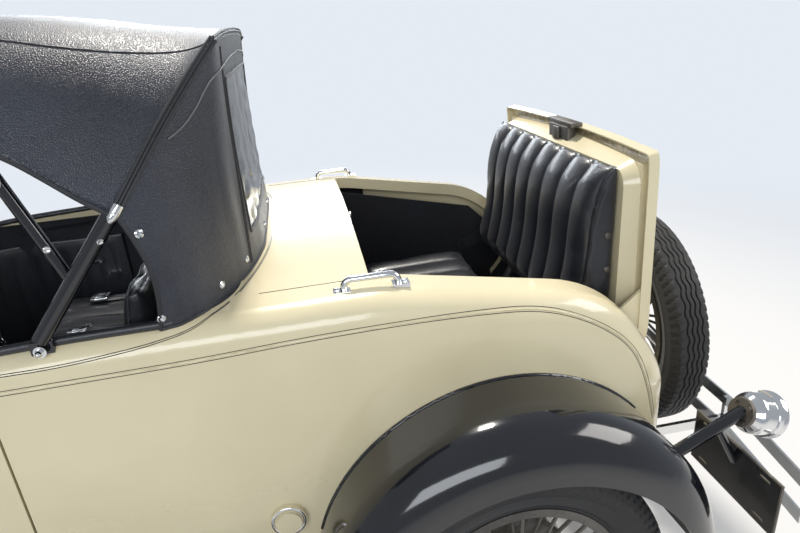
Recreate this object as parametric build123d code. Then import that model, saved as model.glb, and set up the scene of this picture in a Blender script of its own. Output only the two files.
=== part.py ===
from build123d import *
import os
from math import atan2, cos, degrees, hypot, pi, radians, sin

# A two-seat roadster of about 1930 with a rumble seat under its rear lid, at full size.
# Millimetres. Stations are measured from the rear axle: X forward, Y to the car's left, Z up
# from the ground. Every sub-part is moved by ORIGIN_X as it is written, so that the origin is
# on the ground under the middle of the car's length.

# Running gear
WHEELBASE = 2629
TRACK = 1422
TYRE_R = 368
TYRE_SECTION = 120
RIM_R = 254
RIM_BORE_R = 236
RIM_W = 88
HUB_R = 46
DRUM_R = 150
SPOKES = 15
SPOKE_R = 5
REAR_BUMPER_X = -800
FRONT_BUMPER_X = WHEELBASE + 610
ORIGIN_X = -(REAR_BUMPER_X + FRONT_BUMPER_X) / 2
WHEEL_Y = TRACK / 2

# Body
BODY_HALF = 613
BODY_WALL = 38
SHOULDER_R = 60
SILL_Z = 490
DECK_Z = 1158
COWL_Z = 1100
CROWN_R = 5200
TAIL_X = -555
COWL_X = 1850
COWL_HALF = 470
DOOR_REAR_X = 1058
DOOR_FRONT_X = 1650
DOOR_GAP = 6
DOOR_BOTTOM_Z = SILL_Z + 50
DASH_X = 1640
RIM_REAR_X = 528
RUMBLE_FRONT_X = 271
RUMBLE_HALF = 488
RUMBLE_TAIL_Z = 806
LID_GAP = 6
LID_END_Z = 836
LID_SWEEP_R = 262
LID_OPEN = 78.5
LID_T = 26
LID_CORNER_R = 14
LID_SKIN = 4
LID_PANEL_X = -378
PIVOT_X = -209
PIVOT_Z = 812
PIVOT_R = 9
FLOOR_Z = 556
CUSHION_BASE_Z = 690
FLOOR_T = 12

# Body plan ahead of the doors' middle, and the doors' hinges
TAPER_X = 1420
TAPER_HALF = BODY_HALF - 8
HINGE_X = DOOR_FRONT_X - DOOR_GAP / 2
HINGE_SKIN_Y = TAPER_HALF - (TAPER_HALF - COWL_HALF) * (HINGE_X - TAPER_X) / (COWL_X - TAPER_X)
HINGE_R = 9
HINGE_Y = HINGE_SKIN_Y + 6
HINGE_PIN_R = 4
HINGE_H = 84
HINGE_ZS = (620, 830, 1010)
DECK_HALF = 500

# Chassis
CROSS_Z = 505
CROSS_H = 30
LEAVES = 5
LEAF_T = 8
LEAF_W = 50
REAR_SPRING_X = -150
SPRING_EYE_R = 12
AXLE_BANJO_R = 140
TUBE_R = 42
BELL_X = 1950
TUBE_TOP = (1640, 0, 490)
TUBE_FOOT = (130, 0, TYRE_R + 4)
SHAFT_R = 18
PLATE_IN = 92
RAIL_Y = 372
RAIL_W = 50
RAIL_TOP_Z = 540
RAIL_H = 96
RAIL_T = 6
RAIL_REAR_X = -430
RAIL_FRONT_X = WHEELBASE + 260

# Springs: station, half span, rise
SPRINGS = {"rear": (REAR_SPRING_X, 500, 95), "front": (WHEELBASE, 430, 60)}

# Fenders and boards
FENDER_T = 6
FENDER_IN_Y = BODY_HALF - 55
FENDER_OUT_Y = 843
CROWN_Y = 735
REAR_ARCH_R = 417
REAR_ARCH_Z = 345
FRONT_ARCH_R = 440
REAR_CROWN_R = 482
REAR_CROWN_Z = 405
BOARD_Z = 400
BOARD_T = 26
BOARD_FRONT_X = 1965
BOARD_REAR_X = 486
BOARD_IN_Y = BODY_HALF + 8
FENDER_TOE_Z = BOARD_Z + 22
FRONT_FENDER_IN_Y = 476

# Spare wheel
SPARE_X = -687
SPARE_Z = 650

# Front end
SHELL_X = WHEELBASE - 50
SHELL_DEPTH = 88
SHELL_HALF = 288
SHELL_TOP_Z = 1062
SHELL_BOTTOM_Z = 560
SHELL_RIM = 46
HOOD_BOTTOM_Z = 640
HOOD_T = 5
HOOD_GAP = 6
HOOD_RISE = 60
HOOD_CROWN_R = 900
HOOD_KNUCKLES = 9
HOOD_KNUCKLE_R = 6
HOOD_ROD_R = 3
LOUVRES = 20
LAMP_Y = 330
LAMP_Z = 930
LAMP_BAR_Z = 800
LAMP_R = 118
LAMP_X = WHEELBASE + 118

# Weather top
TOP_T = 9
TOP_FRONT_X = 1668
TOP_PEAK_Z = 1758
TOP_REAR_X = 512
TOP_SEAT = 10
BOW_T = 22
BOW_XS = (945, 1290)
REAR_BOW_X = 588
IRON_Y = 588
IRON_R = 16

# Rumble deck fittings
STANCHION_TOP = (-560, 666, 722)
STANCHION_R = 16
TAIL_LAMP_RIM = (-684, 651, 677)
TAIL_LAMP_R = 57
TAIL_LAMP_L = 85
HANDLE_X = 272
HANDLE_Y = 538
HANDLE_SPAN = 121
HANDLE_R = 8
FILLER_X = 526
FILLER_Z = 600
FILLER_R = 42

# Steering
KINGPIN_Y = WHEEL_Y - 140
KINGPIN_R = 12
STEER_ARM = 130
COLUMN_Y = 330
COLUMN_R = 22
COLUMN_TOP = (1300, COLUMN_Y, 1062)
COLUMN_FOOT = (1985, COLUMN_Y, 640)
STEERING_R = 215
STEER_SHAFT_R = 11

# Glass
SCREEN_X = 1700
SCREEN_Z = 1128
SCREEN_TOP_X = 1640
SCREEN_TOP_Z = 1655
SCREEN_HALF = 486

CLEAR = 0.3
RUN = 0.05


STAND = (Align.CENTER, Align.CENTER, Align.MIN)


def outline(plane, points, radii, amount):
    """A closed outline with filleted corners, drawn on a plane and extruded."""
    wire = FilletPolyline(*points, radius=radii, close=True)
    return extrude(plane * make_face(wire), amount=amount)


def side(points, radii, y0, y1):
    """An outline in X and Z, from y0 to y1."""
    plane = Plane((0, y1, 0), x_dir=(1, 0, 0), z_dir=(0, -1, 0))
    return outline(plane, points, radii, y1 - y0)


def plan(points, radii, z0, z1):
    """An outline in X and Y, from z0 to z1."""
    return outline(Plane((0, 0, z0)), points, radii, z1 - z0)


def front(points, radii, x0, x1):
    """An outline in Y and Z, from x0 to x1."""
    plane = Plane((x0, 0, 0), x_dir=(0, 1, 0), z_dir=(1, 0, 0))
    return outline(plane, points, radii, x1 - x0)


def block(x0, x1, y0, y1, z0, z1):
    return Pos((x0 + x1) / 2, (y0 + y1) / 2, (z0 + z1) / 2) * Box(x1 - x0, y1 - y0, z1 - z0)


def rod(start, end, radius):
    """A round bar between two points."""
    start = Vector(*start)
    way = Vector(*end) - start
    return extrude(Plane(start, z_dir=way.normalized()) * Circle(radius), amount=way.length)


def pipe(points, bend, radius, bore=0):
    """A round tube along straight runs joined by arcs."""
    path = FilletPolyline(*points, radius=bend) if len(points) > 2 else Line(*points)
    start = Plane(path @ 0, z_dir=path % 0)
    ring = Circle(radius) - Circle(bore) if bore else Circle(radius)
    return sweep(start * ring, path=path)


def along_y(x, y, z):
    """A place whose Z axis points to the car's left, for turned pieces on the wheels' axes."""
    return Plane((x, y, z), x_dir=(1, 0, 0), z_dir=(0, 1, 0))


def both(shape):
    """A shape and its mirror image on the right side."""
    return shape + mirror(shape, Plane.XZ)


def body_form(inset, sill):
    """The body as a solid: a side profile with a crowned top, cut to the plan and rounded at the shoulder."""
    low = sill - 80
    profile = [(COWL_X, low), (COWL_X, COWL_Z - inset), (900, 1150 - inset), (250, DECK_Z - inset),
               (-300 + 0.6 * inset, 1060 - inset), (TAIL_X + 50 + inset, 760), (TAIL_X + inset, low)]
    axis = Axis((0, 0, DECK_Z - 8 - CROWN_R), (1, 0, 0))
    plane = Plane((0, 0, 0), x_dir=(1, 0, 0), z_dir=(0, -1, 0))
    face = plane * make_face(FilletPolyline(*profile,
                                            radius=[0, 0, 4000, 500 - inset, 330 - inset, 780 - inset, 0],
                                           close=True))
    crowned = revolve(face.rotate(axis, -8), axis, 16)
    half = BODY_HALF - inset
    edge = [(COWL_X, COWL_HALF - inset), (TAPER_X, TAPER_HALF - inset), (1000, half), (250, half),
            (-470 + inset, 580 - inset), (-590 + inset, 0)]
    points = edge + [(x, -y) for x, y in reversed(edge[:-1])]
    radii = [0, 900, 4000, 3000, 140 - inset, 1200, 140 - inset, 3000, 4000, 900, 0]
    form = (crowned & plan(points, radii, sill, 1500)).solids()[0]
    shoulder = []
    for edge in form.edges():
        a, b, c = edge @ 0, edge @ 1, edge @ 0.5
        upright = hypot(a.X - b.X, a.Y - b.Y) < 3 and abs(a.Z - b.Z) > 20
        across = abs(a.X - b.X) < 2 and abs(a.Y - b.Y) > 600
        if c.Z > sill + 10 and c.X < COWL_X - 1 and not upright and not across:
            shoulder.append(edge)
    return form.fillet(SHOULDER_R - min(inset, 30), shoulder)


OUTER = body_form(0, SILL_Z)
INNER = body_form(BODY_WALL, SILL_Z - 40)
SHELL = OUTER - INNER
INNER_CLEAR = body_form(BODY_WALL + CLEAR, SILL_Z - 40)
OUTER_SKIN = OUTER - INNER_CLEAR
OUTER_CLEAR = body_form(-CLEAR, SILL_Z - CLEAR)


def cockpit_opening():
    half = BODY_HALF - 46
    points = [(DASH_X, half - 20), (1100, half), (RIM_REAR_X + 40, half), (RIM_REAR_X, 0)]
    points += [(x, -y) for x, y in reversed(points[:-1])]
    return plan(points, [20, 900, 150, 2500, 150, 900, 20], 900, 1300)


def lid_outline(gap, low):
    """The rumble opening from above, smaller by a gap, down to a height at the tail."""
    half = RUMBLE_HALF - gap
    points = [(RUMBLE_FRONT_X - gap, half), (-900, half), (-900, -half), (RUMBLE_FRONT_X - gap, -half)]
    return plan(points, [LID_CORNER_R, 0, 0, LID_CORNER_R], low, 1300)


def rear_arch(clear=0):
    """The round cut in the body's side over the rear wheel."""
    return Pos(0, 0, REAR_CROWN_Z) * Rot(90, 0, 0) * Cylinder(REAR_CROWN_R - 14 - clear, 1400)


def jambs(clear):
    """The posts behind the doors."""
    y = BODY_HALF - BODY_WALL
    return both(block(DOOR_REAR_X - 30 - clear, DOOR_REAR_X + clear, y - 30 - clear, y + 4, SILL_Z - clear,
                      1090))


def rear_body():
    """Quarter panels, tail and the rails under the doors, with the rumble opening and both wheel arches."""
    skin = SHELL & block(-700, DOOR_REAR_X, -700, 700, 0, 1500)
    skin -= cockpit_opening()
    skin -= lid_outline(0, RUMBLE_TAIL_Z)
    skin -= along_y(PIVOT_X, -RUMBLE_HALF, PIVOT_Z) * Cylinder(LID_SWEEP_R, 2 * RUMBLE_HALF, align=STAND)
    skin -= block(RUMBLE_FRONT_X, RIM_REAR_X + 200, -DECK_HALF, DECK_HALF, 1000, 1300)
    skin -= rear_arch()
    rail = SHELL & block(DOOR_REAR_X, DOOR_FRONT_X - CLEAR, -700, 700, SILL_Z, DOOR_BOTTOM_Z - DOOR_GAP)
    neck = Pos(FILLER_X, 0, FILLER_Z) * Rot(-90, 0, 0)
    skin -= neck * Cylinder(30, 800, align=STAND)
    return skin + rail + jambs(0)


def rear_deck():
    """The panel between the cockpit's rim and the rumble lid, with a lip that the lid shuts on."""
    half = DECK_HALF - CLEAR
    panel = SHELL & block(RUMBLE_FRONT_X, RIM_REAR_X + 200, -half, half, 1000, 1300)
    return panel - cockpit_opening()


def cowl():
    """The scuttle from the door's front edge to the firewall, with the bulkhead that closes it."""
    skin = SHELL & block(DOOR_FRONT_X, COWL_X, -700, 700, 0, 1500)
    firewall = OUTER & block(COWL_X - 12, COWL_X, -700, 700, RAIL_TOP_Z + CLEAR, 1500)
    tunnel = block(COWL_X - 20, COWL_X + 5, -110, 110, SILL_Z - 10, 560)
    return skin + firewall - tunnel - rod(COLUMN_TOP, COLUMN_FOOT, COLUMN_R + CLEAR)


def door():
    """The left door: the whole wall's thickness, its rear edge slanted so that it swings free."""
    gap = DOOR_GAP
    points = [(DOOR_REAR_X + gap, 700), (DOOR_REAR_X + gap, BODY_HALF - 6), (DOOR_REAR_X + 3 * gap, 400),
              (DOOR_FRONT_X - gap, 400), (DOOR_FRONT_X - gap, 700)]
    return (SHELL & plan(points, 0, DOOR_BOTTOM_Z, 1500)) - cockpit_opening()


def hinge(x, y, z):
    """The three barrels of a door hinge: the middle one is the door's, the others are the cowl's."""
    barrel = Pos(x, y, z) * Cylinder(HINGE_R, HINGE_H / 3 - 2 * CLEAR)
    bore = Pos(x, y, z) * Cylinder(HINGE_PIN_R + RUN, HINGE_H)
    pin = Pos(x, y, z) * Cylinder(HINGE_PIN_R, HINGE_H)
    ends = Pos(x, y, z + HINGE_H / 3) * Cylinder(HINGE_R, HINGE_H / 3)
    ends += Pos(x, y, z - HINGE_H / 3) * Cylinder(HINGE_R, HINGE_H / 3)
    return barrel - bore, ends + pin


def doors():
    """The left door with its hinge barrels and handle, and the fixed barrels that the cowl carries."""
    leaf = door() - Pos(HINGE_X, HINGE_Y, 800) * Cylinder(HINGE_R + 2, 900)
    fixed = None
    for z in HINGE_ZS:
        barrel, ends = hinge(HINGE_X, HINGE_Y, z)
        strap = block(HINGE_X - 46, HINGE_X, HINGE_SKIN_Y - 6, HINGE_Y + 3, z - 13, z + 13)
        bore = Pos(HINGE_X, HINGE_Y, z) * Cylinder(HINGE_PIN_R + RUN, HINGE_H)
        leaf += (barrel + strap - bore) - block(HINGE_X + 1, HINGE_X + 50, 0, HINGE_Y - HINGE_R, z - 50,
                                                z + 50)
        tabs = block(HINGE_X + 3, HINGE_X + 38, HINGE_SKIN_Y - 22, HINGE_Y + 3, z - HINGE_H / 2,
                     z + HINGE_H / 2)
        tabs -= Pos(HINGE_X, HINGE_Y, z) * Cylinder(HINGE_R + 3, HINGE_H / 3)
        fixed = ends + tabs if fixed is None else fixed + ends + tabs
    handle = Pos(DOOR_REAR_X + 70, BODY_HALF - 4, 985) * Rot(-90, 0, 0)
    stem = handle * Cylinder(8, 40, align=STAND)
    grip = block(DOOR_REAR_X + 60, DOOR_REAR_X + 165, BODY_HALF + 26, BODY_HALF + 40, 976, 994)
    return leaf + stem + grip, fixed


def lid_panel():
    """The raised panel on the open lid's inner side, with sloping edges, that carries the back rest."""
    half, low, high = 428, 862, 1290
    points = [(-half, -low), (half, -low), (half, -high), (-half, -high)]
    face = make_face(FilletPolyline(*points, radius=45, close=True))
    plane = Plane((LID_PANEL_X, 0, 0), x_dir=(0, 1, 0), z_dir=(-1, 0, 0))
    panel = extrude(plane * face, amount=110, dir=(-1, 0, 0), taper=-25)
    return panel & swung(body_form(LID_T - 1, SILL_Z - 40), -LID_OPEN)


def rumble_lid():
    """The rumble lid, cut from the body's own skin, hollowed behind its rim and swung open."""
    lid = (OUTER - body_form(LID_T, SILL_Z - 40)) & lid_outline(LID_GAP, LID_END_Z)
    channel = lid_outline(LID_GAP + 4, LID_END_Z + 4) - lid_outline(LID_GAP + 32, LID_END_Z + 32)
    lid -= (body_form(LID_SKIN, SILL_Z - 40) - body_form(LID_T + 1, SILL_Z - 45)) & channel
    lid = lid.solids().sort_by(SortBy.VOLUME)[-1]
    arms = []
    for y in (-1, 1):
        arm_y = y * (RUMBLE_HALF - LID_GAP - 8)
        points = [(PIVOT_X - 22, PIVOT_Z - 22), (PIVOT_X + 22, PIVOT_Z - 22), (PIVOT_X + 22, PIVOT_Z + 40),
                  (-60, 1086), (-230, 1020)]
        arms.append(side(points, [20, 20, 60, 4, 4], arm_y - 4, arm_y + 4))
    hole = Pos(PIVOT_X, 0, PIVOT_Z) * Rot(90, 0, 0) * Cylinder(PIVOT_R + RUN, 1200)
    for arm in arms:
        lid += (arm & OUTER) - hole
    return swung(lid, -LID_OPEN) + lid_panel()


def swung(shape, angle):
    """A shape turned about the lid's pivots."""
    return shape.rotate(Axis((PIVOT_X, 0, PIVOT_Z), (0, 1, 0)), angle)


def rumble_back():
    """The rumble seat's back rest on the open lid's panel."""
    rear = LID_PANEL_X + CLEAR
    points = [(-283, 1007), (-293, 1154), (-345, 1296), (rear, 1306), (rear, 862), (-300, 806), (-240, 840)]
    return side(points, [200, 200, 40, 8, 30, 20, 12], -430, 430)


def rumble_tub():
    """The sides, floor and front board of the rumble well, with the lid's pivot pins."""
    y = RUMBLE_HALF + 4
    x0, x1 = -420, 560
    points = [(x0, 640), (x0 + 160, FLOOR_Z), (x1, FLOOR_Z), (x1, 1080), (RUMBLE_FRONT_X, 1080),
              (-250, 960), (x0 + 10, 800)]
    walls = both(side(points, 0, y, y + 8))
    walls -= OUTER_SKIN
    floor = block(x0 + 170, x1, -y, y, FLOOR_Z, FLOOR_Z + FLOOR_T)
    board = block(x1 - 8, x1, -y, y, FLOOR_Z, 1080)
    base = block(-180, 230, -425, 425, FLOOR_Z + FLOOR_T - 1, CUSHION_BASE_Z)
    base -= block(-170, 220, -415, 415, FLOOR_Z, CUSHION_BASE_Z - 10)
    pins = both(Pos(PIVOT_X, y + 2, PIVOT_Z) * Rot(90, 0, 0) * Cylinder(PIVOT_R, 2 * (14 + 2)))
    return walls + floor + board + base + pins


def rumble_cushion():
    z = CUSHION_BASE_Z + CLEAR
    return side([(-205, z), (240, z), (240, 812), (-205, 824)], [10, 10, 30, 30], -440, 440)


def seat_cushion():
    y = BODY_HALF - 75
    return side([(880, 640), (1370, 640), (1370, 800), (880, 770)], [20, 20, 50, 20], -y, y)


def seat_back():
    y = BODY_HALF - 80
    points = [(772, 640), (870, 640), (878, 772), (800, 1195), (742, 1200)]
    return side(points, [20, 10, 60, 25, 25], -y, y)


def floor():
    """The cabin floor with its toe board, in one with the seat's base board."""
    x1 = COWL_X - 12 - CLEAR
    top = FLOOR_Z + FLOOR_T
    sheet = side([(740, FLOOR_Z), (1640, FLOOR_Z), (x1, 700), (x1, 714), (1634, top), (740, top)],
                 0, -700, 700)
    sheet &= INNER_CLEAR
    y, fore = BODY_HALF - BODY_WALL - 8, DOOR_FRONT_X + 25
    beside = [(DOOR_REAR_X, y), (TAPER_X - 60, y), (fore, y - 95), (fore, 700), (DOOR_REAR_X, 700)]
    sheet -= both(plan(beside, 0, SILL_Z, FLOOR_Z + 60))
    y = BODY_HALF - 60
    base = block(750, 1360, -y, y, top, 640 - CLEAR) - block(770, 1340, -y + 20, y - 20, top, 620)
    return (sheet + base) - rod(COLUMN_TOP, COLUMN_FOOT, COLUMN_R + CLEAR) - jambs(CLEAR)


def dashboard():
    y = BODY_HALF - BODY_WALL - 12
    panel = front([(-y, 900), (y, 900), (y, 1085), (-y, 1085)], [30, 30, 40, 40], DASH_X + 12, DASH_X + 24)
    panel &= INNER_CLEAR
    dials = block(DASH_X + 6, DASH_X + 14, -120, 120, 940, 1060)
    return panel + dials


def engine():
    """Block, head and sump as one mass between the rails."""
    block_part = block(1990, 2480, -110, 110, 470, 860)
    head = block(2000, 2470, -95, 95, 860, 905)
    sump = side([(1990, 470), (2480, 470), (2440, 400), (2030, 400)], 20, -100, 100)
    bell = Pos(BELL_X, 0, 560) * Rot(0, 90, 0) * Cylinder(150, 80)
    return block_part + head + sump + bell


def driveline():
    """Gearbox and torque tube, back to the rear axle's housing."""
    box = block(1640, BELL_X - 40 - CLEAR, -90, 90, 430, 550)
    tube = rod(TUBE_TOP, TUBE_FOOT, TUBE_R)
    return (box + tube) - Pos(0, 0, TYRE_R) * Sphere(AXLE_BANJO_R + CLEAR)


def rear_axle():
    """Banjo housing, tapered tubes, spring perches, backing plates and the ends that carry the wheels."""
    banjo = Pos(0, 0, TYRE_R) * Sphere(AXLE_BANJO_R)
    banjo &= block(-AXLE_BANJO_R, AXLE_BANJO_R, -105, 105, 0, 900)
    y_plate = WHEEL_Y - PLATE_IN
    tube = along_y(0, 60, TYRE_R) * Cone(60, 36, y_plate - 60, align=STAND)
    plate = along_y(0, y_plate, TYRE_R) * Cylinder(DRUM_R - 4, 5, align=STAND)
    shaft = along_y(0, y_plate, TYRE_R) * Cylinder(SHAFT_R, PLATE_IN + 40, align=STAND)
    eye_y, eye_z = spring_eye("rear")
    perch = block(REAR_SPRING_X - 28, 0, eye_y - 20, eye_y + 20, eye_z - SPRING_EYE_R - 20,
                  eye_z - SPRING_EYE_R - CLEAR)
    return banjo + both(tube + plate + shaft + perch)


def spring_eye(end):
    """Half span and height of a spring's eyes."""
    half, rise = SPRINGS[end][1:]
    return half, CROSS_Z - CLEAR - LEAVES * LEAF_T - rise


def leaf_springs():
    """One transverse bow of leaves over each axle, the long leaf with rolled eyes."""
    shape = None
    for end, (x, half, rise) in SPRINGS.items():
        radius = (half ** 2 + rise ** 2) / (2 * rise)
        middle = CROSS_Z - CLEAR - LEAVES * LEAF_T
        hub = Pos(x, 0, middle - radius) * Rot(0, 90, 0)
        for n in range(LEAVES):
            reach = half * (1 - 0.17 * n)
            ring = Cylinder(radius + (n + 1) * LEAF_T, LEAF_W) - Cylinder(radius + n * LEAF_T, LEAF_W + 2)
            leaf = (hub * ring) & block(x - LEAF_W, x + LEAF_W, -reach, reach, 200, 700)
            shape = leaf if shape is None else shape + leaf
        eye_y, eye_z = spring_eye(end)
        eye = Pos(x, eye_y, eye_z) * Rot(0, 90, 0) * Cylinder(SPRING_EYE_R, LEAF_W)
        shape += both(eye)
    return shape


def chassis_frame():
    """Two channel rails and three cross members."""
    rails = None
    points = [(RAIL_REAR_X, RAIL_TOP_Z - RAIL_H), (RAIL_FRONT_X, RAIL_TOP_Z - RAIL_H + 20),
              (RAIL_FRONT_X + 60, RAIL_TOP_Z - 30),
              (RAIL_FRONT_X, RAIL_TOP_Z), (RAIL_REAR_X, RAIL_TOP_Z)]
    web = side(points, [10, 40, 20, 40, 10], RAIL_Y + RAIL_W / 2 - RAIL_T, RAIL_Y + RAIL_W / 2)
    solid = side(points, [10, 40, 20, 40, 10], RAIL_Y - RAIL_W / 2, RAIL_Y + RAIL_W / 2)
    core = block(RAIL_REAR_X - 5, RAIL_FRONT_X + 100, RAIL_Y - RAIL_W, RAIL_Y + RAIL_W / 2 - RAIL_T,
                 RAIL_TOP_Z - RAIL_H + RAIL_T + 14, RAIL_TOP_Z - RAIL_T)
    rail = web + (solid - core)
    rails = both(rail)
    y = RAIL_Y + RAIL_W / 2 - RAIL_T + 1
    top = CROSS_Z + CROSS_H
    cross = block(REAR_SPRING_X - 40, REAR_SPRING_X + 40, -y, y, CROSS_Z, top)
    middle = block(1440, 1500, -y, y, RAIL_TOP_Z - 40, RAIL_TOP_Z - 10)
    cross += middle - rod(TUBE_TOP, TUBE_FOOT, TUBE_R + 12)
    cross += block(WHEELBASE - 45, WHEELBASE + 45, -y, y, CROSS_Z, top)
    cross += block(RAIL_REAR_X, RAIL_REAR_X + 50, -y, y, RAIL_TOP_Z - RAIL_H, RAIL_TOP_Z - RAIL_H + 30)
    return rails + cross


def front_axle():
    """I-section beam between the kingpin eyes, dropped in the middle."""
    z = TYRE_R
    y = KINGPIN_Y
    points = [(-y + 20, z - 20), (-y + 110, z - 88), (y - 110, z - 88), (y - 20, z - 20), (y - 20, z + 20),
              (y - 96, z - 30), (-y + 96, z - 30), (-y + 20, z + 20)]
    beam = front(points, [0, 60, 60, 0, 0, 60, 60, 0], WHEELBASE - 22, WHEELBASE + 22)
    web = front([(-y + 120, z - 76), (y - 120, z - 76), (y - 110, z - 42), (-y + 110, z - 42)], 8,
                WHEELBASE + 7, WHEELBASE + 30)
    beam -= web
    beam -= mirror(web, Plane((WHEELBASE, 0, 0), z_dir=(1, 0, 0)))
    eye = Pos(WHEELBASE, y, z) * Cylinder(24, 60)
    beam += both(eye)
    eye_y, eye_z = spring_eye("front")
    beam += both(block(WHEELBASE - 20, WHEELBASE + 20, eye_y - 14, eye_y + 14, z - 60,
                       eye_z - SPRING_EYE_R - CLEAR))
    return beam - both(Pos(WHEELBASE, y, z) * Cylinder(KINGPIN_R + RUN, 200))


def knuckle():
    """The left steering knuckle: fork, kingpin, spindle, backing plate and steering arm."""
    y, z = KINGPIN_Y, TYRE_R
    lug_gap = 30 + 0.5
    fork = None
    for sign in (-1, 1):
        lug = Pos(WHEELBASE, y, z + sign * (lug_gap + 9)) * Cylinder(26, 18)
        fork = lug if fork is None else fork + lug
    cheek = block(WHEELBASE - 24, WHEELBASE + 24, y + 31, y + 49, z - lug_gap - 18, z + lug_gap + 18)
    for sign in (-1, 1):
        zc = z + sign * (lug_gap + 9)
        fork += block(WHEELBASE - 24, WHEELBASE + 24, y, y + 44, zc - 9, zc + 9)
    pin = Pos(WHEELBASE, y, z) * Cylinder(KINGPIN_R, 2 * (lug_gap + 24))
    y_plate = WHEEL_Y - PLATE_IN
    plate = along_y(WHEELBASE, y_plate, z) * Cylinder(DRUM_R - 4, 5, align=STAND)
    spindle = along_y(WHEELBASE, y + 38, z) * Cylinder(SHAFT_R, 140 - 38 + 40, align=STAND)
    arm_z = z - lug_gap - 9
    arm = block(WHEELBASE - STEER_ARM, WHEELBASE, y - 11, y + 11, arm_z - 9, arm_z + 9)
    ball = Pos(WHEELBASE - STEER_ARM, y, arm_z) * Cylinder(16, 18)
    ball -= Pos(WHEELBASE - STEER_ARM, y, arm_z) * Cylinder(8 + RUN, 40)
    arm -= Pos(WHEELBASE - STEER_ARM, y, arm_z) * Cylinder(10, 40)
    return fork + cheek + pin + plate + spindle + arm + ball


def tie_rod():
    """The rod behind the axle that ties the two steering arms."""
    y = KINGPIN_Y
    x = WHEELBASE - STEER_ARM
    arm_z = TYRE_R - 30.5 - 9
    z = arm_z - 9 - 0.5 - 12
    bar = rod((x, -y + 10, z), (x, y - 10, z), 9)
    ends = both(Pos(x, y, z) * Cylinder(17, 24))
    studs = both(Pos(x, y, arm_z - 2) * Cylinder(8, 2 * (9 + 4)))
    return bar + ends + studs


def tyre():
    """The tyre's section turned about the wheel's axis, which runs along Y."""
    w = TYRE_SECTION / 2
    points = [(RIM_BORE_R + CLEAR, -38), (RIM_R + 4, -40), (300, -w), (345, -w + 4), (TYRE_R, -w + 18),
              (TYRE_R, w - 18), (345, w - 4), (300, w), (RIM_R + 4, 40), (RIM_BORE_R + CLEAR, 38)]
    wire = FilletPolyline(*[(r, a) for r, a in points], radius=[0, 6, 30, 20, 12, 12, 20, 30, 6, 0],
                          close=True)
    face = Plane.XY * make_face(wire)
    return revolve(face, Axis.Y)


def wheel(drum=True):
    """Rim, wire spokes and hub in one, with its brake drum on a road wheel; the outer side is towards +Y."""
    flange = RIM_W / 2
    rim_points = [(RIM_BORE_R - 12, -16), (RIM_BORE_R - 4, -flange), (RIM_R, -flange),
                  (RIM_R, -flange + 4), (RIM_BORE_R, -flange + 5), (RIM_BORE_R, flange - 5),
                  (RIM_R, flange - 4), (RIM_R, flange), (RIM_BORE_R - 4, flange), (RIM_BORE_R - 12, 16)]
    rim = revolve(make_face(Polyline(*rim_points, close=True)), Axis.Y)
    hub_points = [(SHAFT_R + RUN, -60), (HUB_R, -60), (HUB_R, 20), (HUB_R + 12, 26), (HUB_R + 12, 34),
                  (HUB_R - 6, 42), (HUB_R - 6, 52), (0, 60), (0, 44), (SHAFT_R + RUN, 44)]
    hub = revolve(make_face(Polyline(*hub_points, close=True)), Axis.Y)
    drum_points = [(HUB_R - 2, -40), (DRUM_R - 10, -40), (DRUM_R, -48), (DRUM_R, -84),
                   (DRUM_R - 3, -84), (DRUM_R - 3, -50), (DRUM_R - 14, -46), (HUB_R - 2, -46)]
    shape = rim + hub
    if drum:
        shape += revolve(make_face(Polyline(*drum_points, close=True)), Axis.Y)
    for n in range(2 * SPOKES):
        outer_row = n % 2
        a = 360 * n / (2 * SPOKES)
        swing = 9 if outer_row else -9
        foot_r, foot_y = (HUB_R + 6, 30) if outer_row else (HUB_R - 2, -20)
        tip_y = 10 if outer_row else -10
        start = Vector(foot_r * cos(radians(a)), foot_y, foot_r * sin(radians(a)))
        end = Vector((RIM_BORE_R - 8) * cos(radians(a + swing)), tip_y,
                     (RIM_BORE_R - 8) * sin(radians(a + swing)))
        way = end - start
        shape += extrude(Plane(start, z_dir=way.normalized()) * RegularPolygon(SPOKE_R, 6),
                         amount=way.length)
    return shape


def fender_section(plane, inner, skirt):
    """A fender's cross section: flat from the inner edge to the crown, round over it, then a skirt."""
    out = FENDER_OUT_Y - CROWN_Y
    r = out - 16
    t = FENDER_T
    pts = [(-inner, -8), (0, 0), (out, 0), (out, -skirt), (out - t, -skirt), (out - t, -t), (0, -t),
           (-inner, -8 - t)]
    wire = FilletPolyline(*pts, radius=[0, 300, r, 0, 0, r - t, 300 - t, 0], close=True)
    return plane * make_face(wire)


def rear_fender():
    """The left rear fender, turned about the wheel, with the wheel opening and its rolled bead."""
    start = -4
    sweep_angle = 188
    r = REAR_CROWN_R
    plane = Plane((r * cos(radians(start)), CROWN_Y, REAR_CROWN_Z + r * sin(radians(start))),
                  x_dir=(0, 1, 0),
                  z_dir=(sin(radians(start)), 0, -cos(radians(start))))
    face = fender_section(plane, CROWN_Y - FENDER_IN_Y, 220)
    shape = revolve(face, Axis((0, 0, REAR_CROWN_Z), (0, -1, 0)), sweep_angle)
    hole = Pos(0, CROWN_Y + 20, REAR_ARCH_Z) * Rot(-90, 0, 0)
    shape -= hole * Cylinder(REAR_ARCH_R, 300, align=STAND)
    return (shape - OUTER_CLEAR).solids().sort_by(SortBy.VOLUME)[-1]


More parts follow.
